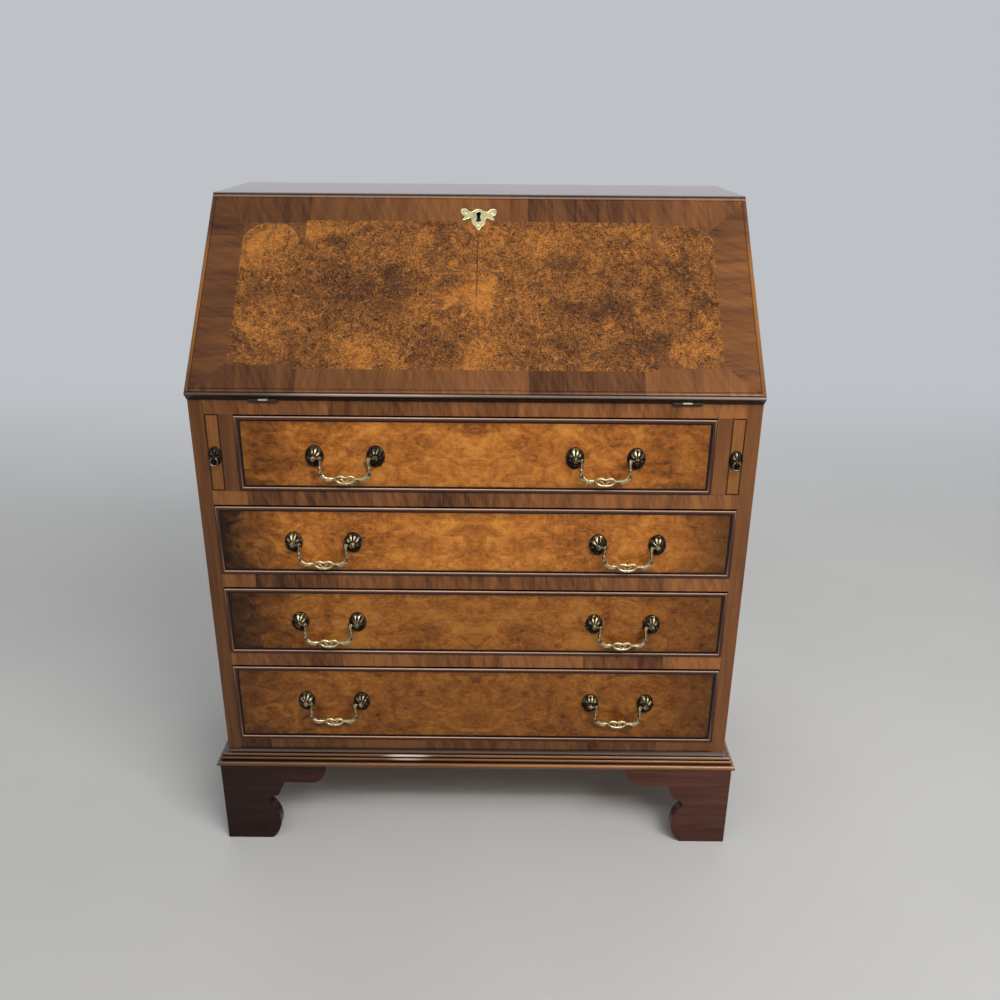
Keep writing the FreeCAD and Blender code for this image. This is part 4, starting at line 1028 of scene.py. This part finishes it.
# Swan neck of a bail from its ball at the post to the collar of the oval: millimetres across, down,
# radius and forward
BAIL_NECK = (
    (31.9, 3.1, 0.9, -0.2), (32.1, 1.7, 2.6, -0.2), (32.4, 0.0, 3.3, 0.0), (32.3, -2.6, 2.5, 0.0),
    (32.4, -6.0, 1.9, 0.0), (32.8, -10.6, 1.9, 0.0), (33.1, -14.0, 2.5, -0.3), (33.0, -17.2, 2.0, 0.0),
    (32.4, -21.6, 2.4, 0.0), (30.2, -26.0, 2.9, -0.3), (26.2, -28.8, 3.4, -0.5), (21.0, -29.5, 3.6, -0.5),
    (17.0, -29.4, 2.5, 0.0), (14.6, -29.5, 1.9, 0.0),
)
# Leaves that wrap the neck, its collar, the vein in the oval, and the two strands of the pierced oval
BAIL_LEAVES = (
    ((31.4, -17.8, 0.7, -2.0), (29.8, -22.6, 1.4, -2.8), (26.4, -26.2, 1.6, -3.3), (21.0, -27.4, 0.8, -2.8)),
    ((34.4, -15.8, 0.6, -0.6), (34.4, -20.6, 1.1, -1.0), (32.2, -25.8, 1.2, -1.2), (28.0, -29.8, 0.8, -1.0)),
    ((29.4, -29.2, 0.6, -1.8), (24.8, -31.2, 1.2, -2.4), (19.4, -31.2, 0.8, -2.0)),
)
BAIL_COLLAR = ((15.2, -29.4, 2.3, 0.0), (14.1, -29.4, 3.2, 0.0), (13.0, -29.4, 2.3, 0.0))
BAIL_VEIN = ((7.2, -27.2, 0.5, -0.6), (3.6, -30.8, 1.1, -0.6), (0.4, -34.6, 0.8, -0.5))
OVAL_LOWER = (
    (12.8, -29.6, 1.8, 0.0), (10.8, -32.8, 1.7, 0.0), (6.6, -35.0, 1.9, -0.2), (0.0, -35.8, 2.2, -0.4),
)
OVAL_UPPER = (
    (12.8, -29.4, 1.9, 0.0), (10.8, -26.6, 1.9, -0.3), (6.6, -25.4, 2.2, -0.6), (2.8, -26.2, 2.1, -0.6),
    (0.0, -27.4, 2.2, -0.6),
)
# Pins that hook into the posts: where each begins and ends, and its radius
PINTLE_ENDS, PINTLE_RADIUS = (31.4, 42.8), 1.55


def mirrored(points):
    """Half a strand and its mirror image, as one line from side to side."""
    return list(points) + [(-x, z, r, y) for x, z, r, y in reversed(points[:-1])]


def bail_mesh():
    """Swan-neck bail about its own pivot: necks, leaves, collars and a pierced oval."""
    mesh, layer = new_casting()

    def cast(points, side, *shape):
        line = [(side * x * MM, y * MM, z * MM, radius * MM) for x, z, radius, y in points]
        sweep(mesh, layer, line, *shape)

    for side in (-1, 1):
        cast(BAIL_NECK, side, 6, 18, 5, 0.07, 0.95, 0.07)
        for leaf in BAIL_LEAVES:
            cast(leaf, side, 6, 9, 0, 0.0, 0.9, 0.1)
        cast(BAIL_COLLAR, side, 3, 14)
        cast(BAIL_VEIN, side, 4, 9)
        add_pin(mesh, layer, [side * x * MM for x in PINTLE_ENDS], PINTLE_RADIUS * MM)
    cast(mirrored(OVAL_LOWER), 1, 6, 12, 0, 0.0, 1.0, 0.04)
    cast(mirrored(OVAL_UPPER), 1, 6, 12, 4, 0.06, 1.0, 0.1)
    return finish_mesh(mesh, "bail_casting", 50.0)


# Ring of a loper pull in millimetres: half its width and height, how far it hangs forward, and its pin
RING_WIDE, RING_HIGH, RING_OUT = 5.2, 5.8, 0.6
RING_PIN, RING_PIN_RADIUS = 5.0, 1.15


def pull_ring_mesh(name):
    """Ring that hangs from its pivot, thicker towards its foot."""
    mesh, layer = new_casting()
    line = [
        (
            RING_WIDE * MM * math.sin(angle), -RING_OUT * MM,
            (-RING_HIGH + RING_HIGH * math.cos(angle)) * MM, (1.05 - 0.2 * math.cos(angle)) * MM,
        )
        for angle in turns(16) + [2 * math.pi]
    ]
    sweep(mesh, layer, line, 3, 12)
    add_pin(mesh, layer, (-RING_PIN * MM, RING_PIN * MM), RING_PIN_RADIUS * MM)
    return finish_mesh(mesh, name, 50.0)


# Half of the keyhole plate's outline in millimetres across and up the slope, from the top centre
PLATE_HALF = (
    (0.0, 294.9), (2.4, 294.5), (5.1, 293.4), (7.4, 291.5), (9.6, 290.5), (12.7, 290.2), (14.2, 291.7),
    (15.4, 293.5), (17.6, 295.1), (20.4, 295.6), (23.7, 294.8), (25.3, 292.2), (24.4, 288.3), (22.6, 285.5),
    (19.9, 283.8), (19.7, 281.9), (21.2, 278.9), (22.5, 276.5), (18.6, 277.7), (14.6, 279.6), (11.6, 280.9),
    (10.2, 279.7), (9.5, 276.3), (9.2, 272.8), (7.8, 269.7), (5.6, 267.3), (3.8, 265.1), (1.6, 261.7),
    (0.0, 259.4),
)
KEYHOLE_HALF = (
    (0.0, 290.8), (2.0, 290.4), (3.3, 289.2), (3.7, 287.2), (3.2, 285.2), (2.4, 283.4), (2.6, 280.2),
    (3.5, 276.6), (3.9, 274.0), (2.0, 273.2), (0.0, 273.1),
)
# Its pins, the rows of a pin's head, and its levels off the face of the fall
PLATE_PINS = ((-18.5, 289.1), (18.5, 289.1), (-0.3, 268.9))
PIN_HEAD = ((0.2, 1.7), (0.75, 1.7), (1.0, 1.3), (1.15, 0.6), (1.18, 0.1))
PLATE_LEVEL, RIM_LEVEL = FACE_LEVEL + 0.25, FACE_LEVEL + 0.65


def whole_outline(half):
    """Outline from its half and the mirror image of that."""
    return list(half) + [(-x, s) for x, s in reversed(half[1:-1])]


def slope_point(x, s, t):
    """Place on the fall from millimetres across, up the slope and square to it."""
    x, s, t = x * MM, s * MM, t * MM
    return HINGE + Vector((x, s * FALL_COS - t * FALL_SIN, s * FALL_SIN + t * FALL_COS))


# Operators
def colours_of(context):
    """Colour settings of the scene."""
    return context.scene.bureau_finish


def paint(material, *nodes):
    """Give pieces of cabinetwork their finish."""
    for node in nodes:
        data = frame["nodes"][node].data
        data.materials.clear()
        data.materials.append(material)


class BUREAU_OT_carcass(bpy.types.Operator):
    """Finish the sides, the top, the rails, the feet and the linings"""

    bl_idname = "bureau.carcass"
    bl_label = "Carcass"

    def execute(self, context):
        colours = colours_of(context)
        paint(upright_finish(colours, "side_veneer"), "side_left", "side_right")
        paint(upright_finish(colours, "upright_banding"), "loper_partitions")
        paint(rail_finish(colours), "writing_board", "drawer_rails")
        paint(top_finish(colours), "top_board")
        paint(gallery_finish(colours), "gallery_case", "gallery_drawer_left", "gallery_drawer_right")
        paint(lining_finish(colours), "back_panel", "bottom_board", "drawer_runners", "foot_blocks")
        corners = [place + side for place in ("foot_front_", "foot_back_") for side in SIDES]
        paint(foot_finish(colours), *corners)
        return {"FINISHED"}


class BUREAU_OT_base_moulding(bpy.types.Operator):
    """Run the base moulding round three sides"""

    bl_idname = "bureau.base_moulding"
    bl_label = "Base moulding"

    def execute(self, context):
        facets = context.scene.bureau_sizes.bead_facets
        low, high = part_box("base_moulding")
        left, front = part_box("side_left")[0].xy
        right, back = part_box("side_right")[1].x, high.y
        overhang = (front - low.y) / MM
        start, top = overhang - ROUND_RADIUS, 2 * ROUND_RADIUS
        profile = [(0.0, 0.0)]
        profile += half_round((start, 0.0), (overhang, ROUND_RADIUS), (start, top), facets * 2)
        profile += [(FILLET_OUT, top), (FILLET_OUT, FILLET_TOP)]
        for start, bulge, foot in REEDS:
            profile += half_round(
                (start, foot), (bulge, foot + REED_RADIUS), (start, foot + 2 * REED_RADIUS), facets
            )
        profile += [(COVE_OUT, COVE_FOOT), (0.0, (high.z - low.z) / MM)]
        mesh = bmesh.new()
        rows = []
        for x, y, dx, dy in (
            (left, back, -1, 0), (left, front, -1, -1), (right, front, 1, -1), (right, back, 1, 0)
        ):
            rows.append([
                mesh.verts.new((x + dx * out * MM, y + dy * out * MM, low.z + up * MM)) for out, up in profile
            ])
        bridge(mesh, rows, False)
        data = finish_mesh(mesh, "base_moulding_run", 28.0)
        wood = moulding_finish(colours_of(context))
        place_piece("base_moulding_run", data, "carcass", wood, "base_moulding")
        return {"FINISHED"}


class BUREAU_OT_fall(bpy.types.Operator):
    """Veneer the fall and lay the leather"""

    bl_idname = "bureau.fall"
    bl_label = "Fall"

    def execute(self, context):
        paint(fall_finish(colours_of(context)), "fall_panel")
        paint(hide_finish(colours_of(context)), "writing_leather")
        return {"FINISHED"}


# Cock bead in millimetres inward from the edge of the opening and out from the front: how far back it
# runs, its half round, and the strip inside it
BEAD_BACK = -12.0
BEAD_ROUND = ((0.0, 1.8), (2.5, 3.2), (5.0, 1.8))
BEAD_STRIP = ((5.2, 0.5), (7.3, 0.5), (7.3, BEAD_BACK))


class BUREAU_OT_drawers(bpy.types.Operator):
    """Veneer the drawer fronts, line the boxes and run the cock beads"""

    bl_idname = "bureau.drawers"
    bl_label = "Drawers"

    def execute(self, context):
        colours = colours_of(context)
        lining = bpy.data.materials["lining_boards"]
        bead = bead_finish(colours)
        facets = context.scene.bureau_sizes.bead_facets
        profile = ((0.0, BEAD_BACK), *half_round(*BEAD_ROUND, facets), *BEAD_STRIP)
        for number in DRAWERS:
            name = "drawer_%d" % number
            paint(front_finish(colours, number), name + "_front")
            paint(lining, name + "_box")
            low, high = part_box(name + "_cock_bead")
            mesh = bmesh.new()
            rows = []
            for x, z, dx, dz in (
                (low.x, low.z, 1, 1), (high.x, low.z, -1, 1), (high.x, high.z, -1, -1), (low.x, high.z, 1, -1)
            ):
                rows.append([
                    mesh.verts.new((x + dx * inward * MM, FRONT_Y - out * MM, z + dz * inward * MM))
                    for inward, out in profile
                ])
            bridge(mesh, rows, True)
            data = finish_mesh(mesh, name + "_bead_run")
            place_piece(name + "_bead_run", data, name, bead, name + "_cock_bead")
        return {"FINISHED"}


# Posts in millimetres: radius and reach of a handle's, radius of a loper pull's, and how far that one
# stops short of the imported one. Then the petals round a loper pull
HANDLE_POST_RADIUS, HANDLE_POST_REACH = 3.7, 14.4
PULL_POST_RADIUS, PULL_POST_SHORT = 2.6, 0.2
PULL_PETALS = 7


class BUREAU_OT_handles(bpy.types.Operator):
    """Cast the rosettes and hang the bails"""

    bl_idname = "bureau.handles"
    bl_label = "Handles"

    def execute(self, context):
        sizes = context.scene.bureau_sizes
        brass = cast_brass(colours_of(context), "cast_brass")
        casting = bail_mesh()
        half = sizes.post_spacing / 2
        size = (sizes.rosette_width, sizes.rosette_height, sizes.rosette_depth)
        stem = (HANDLE_POST_RADIUS * MM, HANDLE_POST_REACH * MM)
        for number in DRAWERS:
            name = "drawer_%d" % number
            mesh, layer = new_casting()
            for side in SIDES:
                bail = "%s_bail_%s" % (name, side)
                pivot = PIVOTS[bail + "_swing"]
                for post in (-half, half):
                    centre = Vector((pivot.x + post, FRONT_Y, pivot.z))
                    add_rosette(mesh, layer, centre, size, sizes.rosette_petals, stem)
                place_piece(bail + "_casting", casting, bail, brass, bail, pivot)
            rosettes = name + "_rosettes"
            data = finish_mesh(mesh, name + "_rosette_castings", 60.0)
            place_piece(name + "_rosette_castings", data, name, brass, rosettes)
        return {"FINISHED"}


class BUREAU_OT_loper_pulls(bpy.types.Operator):
    """Cast the small pulls of the lopers"""

    bl_idname = "bureau.loper_pulls"
    bl_label = "Loper pulls"

    def execute(self, context):
        sizes = context.scene.bureau_sizes
        colours = colours_of(context)
        brass = cast_brass(colours, "pull_brass", linear(158, 134, 120))
        size = (sizes.pull_width, sizes.pull_height, sizes.pull_depth)
        for side in SIDES:
            loper, plate, ring = ("loper%s_%s" % (part, side) for part in ("", "_plate", "_ring"))
            paint(loper_finish(colours, side), loper)
            pivot = PIVOTS[ring + "_swing"]
            low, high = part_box(plate)
            centre = Vector((pivot.x, FRONT_Y, (low.z + high.z) / 2))
            post = (PULL_POST_RADIUS * MM, FRONT_Y - low.y - PULL_POST_SHORT * MM)
            mesh, layer = new_casting()
            add_rosette(mesh, layer, centre, size, PULL_PETALS, post, 0.7)
            data = finish_mesh(mesh, plate + "_casting", 60.0)
            place_piece(plate + "_casting", data, loper, brass, plate)
            data = pull_ring_mesh(ring + "_casting")
            place_piece(ring + "_casting", data, ring, brass, ring, pivot)
        return {"FINISHED"}


class BUREAU_OT_escutcheon(bpy.types.Operator):
    """Cut the keyhole plate and pin it to the fall"""

    bl_idname = "bureau.escutcheon"
    bl_label = "Escutcheon"

    def execute(self, context):
        mesh = self.cut_plate(context)
        self.raise_rim(mesh)
        for x, s in PLATE_PINS:
            add_rings(mesh, [
                [
                    slope_point(x + radius * math.cos(angle), s + radius * math.sin(angle), FACE_LEVEL + out)
                    for angle in turns(16)
                ]
                for out, radius in PIN_HEAD
            ])
        data = finish_mesh(mesh, "escutcheon_plate")
        brass = plate_brass("escutcheon_brass", colours_of(context).plate_brass)
        place_piece("escutcheon_plate", data, "fall", brass, "escutcheon")
        return {"FINISHED"}

    def cut_plate(self, context):
        """Flat plate with the keyhole through it, laid on the fall."""
        curve = bpy.data.curves.new("escutcheon_outline", "CURVE")
        curve.dimensions = "2D"
        curve.fill_mode = "BOTH"
        curve.extrude = 0.45 * MM
        for half in (PLATE_HALF, KEYHOLE_HALF):
            points = whole_outline(half)
            spline = curve.splines.new("POLY")
            spline.points.add(len(points) - 1)
            for point, (x, s) in zip(spline.points, points):
                point.co = (x * MM, s * MM, 0.0, 1.0)
            spline.use_cyclic_u = True
        flat = bpy.data.objects.new("escutcheon_flat", curve)
        context.scene.collection.objects.link(flat)
        context.view_layer.update()
        data = bpy.data.meshes.new_from_object(flat.evaluated_get(context.evaluated_depsgraph_get()))
        bpy.data.objects.remove(flat)
        mesh = bmesh.new()
        mesh.from_mesh(data)
        bpy.data.meshes.remove(data)
        for vert in mesh.verts:
            x, s, out = vert.co / MM
            vert.co = slope_point(x, s, PLATE_LEVEL + out)
        return mesh

    def raise_rim(self, mesh):
        """Thin bead round the outline and the keyhole."""
        for half, radius in ((PLATE_HALF, 0.5), (KEYHOLE_HALF, 0.35)):
            line = [Vector(point) for point in whole_outline(half)]
            rings = []
            for index, point in enumerate(line):
                along = (line[(index + 1) % len(line)] - line[index - 1]).normalized()
                aside = Vector((along.y, -along.x))
                ring = []
                for angle in turns(8):
                    flat = point + aside * (radius * math.cos(angle))
                    level = RIM_LEVEL + radius * math.sin(angle)
                    ring.append(mesh.verts.new(slope_point(flat.x, flat.y, level)))
                rings.append(ring)
            bridge(mesh, rings, True)


# Turned knob in millimetres out and radius, and the reach that it is drawn for
KNOB_PROFILE = (
    (0.0, 3.8), (0.8, 3.8), (1.4, 3.0), (2.6, 2.2), (5.4, 2.1), (7.0, 3.2), (8.6, 5.0),
    (10.0, 5.8), (11.2, 5.6), (12.2, 4.4), (12.7, 2.4), (12.9, 0.4),
)
KNOB_REACH = 13.0


class BUREAU_OT_fittings(bpy.types.Operator):
    """Finish the hinges, the lock and the gallery knobs"""

    bl_idname = "bureau.fittings"
    bl_label = "Fittings"

    def execute(self, context):
        # Hinges and lock, in brass painted dark as shade
        brass_in_shade = ("hinge_leaves_fixed", "hinge_leaves_fall", "hinge_pins", "lock_case", "lock_keeper")
        paint(hinge_finish(), *brass_in_shade)
        paint(steel_finish(colours_of(context)), "lock_bolt")
        brass = plate_brass("knob_brass", linear(190, 160, 92))
        for side in SIDES:
            knob = "gallery_knob_" + side
            low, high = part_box(knob)
            centre = Vector(((low.x + high.x) / 2, high.y, (low.z + high.z) / 2))
            stretch = (high.y - low.y) / KNOB_REACH
            mesh, layer = new_casting()
            profile = [(out * stretch, radius * MM) for out, radius in KNOB_PROFILE]
            add_turning(mesh, layer, centre, profile, 28)
            data = finish_mesh(mesh, knob + "_turning")
            drawer = "gallery_drawer_" + side
            place_piece(knob + "_turning", data, drawer, brass, knob)
        return {"FINISHED"}


# Lamps: where each hangs and what it looks at, its size and its tint
LAMPS = {
    "key": ((1.3, -2.0, 2.6), (0.0, -0.1, 0.5), (1.7, 0.9), (1.0, 0.97, 0.93)),
    "strip": ((0.0, -2.0, 2.4), (0.0, -0.2, 0.4), (2.8, 0.14), (1.0, 0.98, 0.97)),
    "fill": ((-2.6, -1.8, 2.2), (0.0, 0.0, 0.4), (2.0, 2.0), (0.93, 0.96, 1.0)),
    "rear": ((0.0, 2.0, 2.8), (0.0, 1.7, 0.0), (4.5, 2.0), (1.0, 1.0, 1.0)),
}

# Floor in metres: how far it runs, where it turns up, in what radius and how high it goes
FLOOR_REACH, FLOOR_BACK, FLOOR_TURN, FLOOR_TOP = 9.0, 3.0, 1.2, 6.0
FLOOR_STEPS = 12


def seen_rays(root):
    """Masks of the camera's own rays, and of those with the ones that gloss and glass send on."""
    own = root.node("ShaderNodeLightPath", output="Is Camera Ray")
    return own, own.most(own.other("Is Glossy Ray")).most(own.other("Is Transmission Ray"))


class BUREAU_OT_stage(bpy.types.Operator):
    """Lay the floor, hang the lamps and set up the camera"""

    bl_idname = "bureau.stage"
    bl_label = "Stage"

    def execute(self, context):
        stage = context.scene.bureau_stage
        backdrop = (*colours_of(context).backdrop, 1.0)
        self.lay_floor(context, backdrop)
        self.light_sky(context, backdrop, stage.sky_strength)
        for name, lamp in LAMPS.items():
            self.hang_lamp(context, name, getattr(stage, name + "_power"), *lamp)
        self.set_camera(context, stage)
        context.scene.view_settings.view_transform = "Standard"
        return {"FINISHED"}

    def lay_floor(self, context, backdrop):
        """Pale floor that fades to the backdrop behind the bureau and far to its front and sides."""
        finish = Finish("plain_floor")
        value = finish.noise(finish.place, 2.0, 3.0, 0.6)
        ground = finish.tones(value, colours_of(context).floor, (0.3, 0.97), (0.7, 1.02))
        root = finish.root
        own, seen = seen_rays(root)
        away = abs(finish.x).most(finish.y * -1.0).rise(1.2, 2.6)
        share = (seen * finish.y.rise(0.5, 2.6)).most(own * away)
        lit = root.node("ShaderNodeBsdfDiffuse", values={"Color": ground})
        shown = root.node("ShaderNodeEmission", values={"Color": backdrop, "Strength": 1.0})
        both = root.node("ShaderNodeMixShader", values={0: share, 1: lit, 2: shown})
        root.node("ShaderNodeOutputMaterial", values={"Surface": both})
        rows = [(-FLOOR_REACH, 0.0), (FLOOR_BACK, 0.0)]
        for step in range(1, FLOOR_STEPS + 1):
            angle = math.pi / 2 * step / FLOOR_STEPS
            rows.append((FLOOR_BACK + FLOOR_TURN * math.sin(angle), FLOOR_TURN * (1 - math.cos(angle))))
        rows.append((FLOOR_BACK + FLOOR_TURN, FLOOR_TOP))
        mesh = bmesh.new()
        verts = [[mesh.verts.new((x, y, z)) for x in (-FLOOR_REACH, FLOOR_REACH)] for y, z in rows]
        for lower, upper in zip(verts, verts[1:]):
            mesh.faces.new((lower[0], lower[1], upper[1], upper[0]))
        data = finish_mesh(mesh, "floor_sweep", 60.0)
        data.materials.append(finish.material)
        floor = bpy.data.objects.new("floor_sweep", data)
        context.scene.collection.objects.link(floor)

    def light_sky(self, context, backdrop, strength):
        """Even light from all round, which shows as the backdrop."""
        world = bpy.data.worlds.new("studio")
        context.scene.world = world
        world.use_nodes = True
        world.node_tree.nodes.clear()
        root = Socket(world.node_tree, None)
        seen = seen_rays(root)[1]
        light = root.node("ShaderNodeBackground", values={"Color": (1, 1, 1, 1), "Strength": strength})
        shown = root.node("ShaderNodeBackground", values={"Color": backdrop, "Strength": 1.0})
        both = root.node("ShaderNodeMixShader", values={0: seen, 1: light, 2: shown})
        root.node("ShaderNodeOutputWorld", values={"Surface": both})

    def hang_lamp(self, context, name, power, place, target, size, tint):
        """Oblong softbox that looks at one place."""
        lamp = bpy.data.lights.new(name + "_lamp", "AREA")
        lamp.shape = "RECTANGLE"
        lamp.size, lamp.size_y = size
        lamp.energy = power
        lamp.color = tint
        holder = bpy.data.objects.new(name + "_lamp", lamp)
        holder.location = place
        holder.rotation_euler = (Vector(target) - Vector(place)).to_track_quat("-Z", "Y").to_euler()
        context.scene.collection.objects.link(holder)

    def set_camera(self, context, stage):
        """Camera at the photograph's viewing angle."""
        camera = bpy.data.cameras.new("photo_camera")
        camera.sensor_width = 36.0
        camera.lens = stage.camera_lens
        camera.clip_start = 0.05
        camera.clip_end = 50.0
        holder = bpy.data.objects.new("photo_camera", camera)
        yaw, pitch, roll = stage.camera_yaw, stage.camera_pitch, stage.camera_roll
        ahead = Vector((math.sin(yaw) * math.cos(pitch), math.cos(yaw) * math.cos(pitch), -math.sin(pitch)))
        level = Vector((math.cos(yaw), -math.sin(yaw), 0.0))
        plumb = ahead.cross(level)
        right = level * math.cos(roll) + plumb * math.sin(roll)
        down = plumb * math.cos(roll) - level * math.sin(roll)
        turn = Matrix((right, -down, -ahead)).transposed()
        holder.matrix_world = Matrix.Translation(Vector(stage.camera_place)) @ turn.to_4x4()
        context.scene.collection.objects.link(holder)
        context.scene.camera = holder


OPERATORS = (
    BUREAU_OT_carcass, BUREAU_OT_base_moulding, BUREAU_OT_fall, BUREAU_OT_drawers, BUREAU_OT_handles,
    BUREAU_OT_loper_pulls, BUREAU_OT_escutcheon, BUREAU_OT_fittings, BUREAU_OT_stage,
)


class BUREAU_PT_panel(bpy.types.Panel):
    """Steps that dress the bureau"""

    bl_label = "Writing bureau"
    bl_idname = "BUREAU_PT_panel"
    bl_space_type = "VIEW_3D"
    bl_region_type = "UI"
    bl_category = "Bureau"

    def draw(self, context):
        for operator in OPERATORS:
            self.layout.operator(operator.bl_idname)


CLASSES = (BureauFinish, BureauSizes, BureauStage, *OPERATORS, BUREAU_PT_panel)


def register():
    """Add the settings, the steps and the panel."""
    for kind in CLASSES:
        bpy.utils.register_class(kind)
    bpy.types.Scene.bureau_finish = PointerProperty(type=BureauFinish)
    bpy.types.Scene.bureau_sizes = PointerProperty(type=BureauSizes)
    bpy.types.Scene.bureau_stage = PointerProperty(type=BureauStage)


def unregister():
    """Take them away again."""
    for name in ("bureau_finish", "bureau_sizes", "bureau_stage"):
        delattr(bpy.types.Scene, name)
    for kind in reversed(CLASSES):
        bpy.utils.unregister_class(kind)


def main():
    """Dress the bureau."""
    register()
    for operator in OPERATORS:
        group, name = operator.bl_idname.split(".")
        getattr(getattr(bpy.ops, group), name)()


if __name__ == "__main__":
    main()
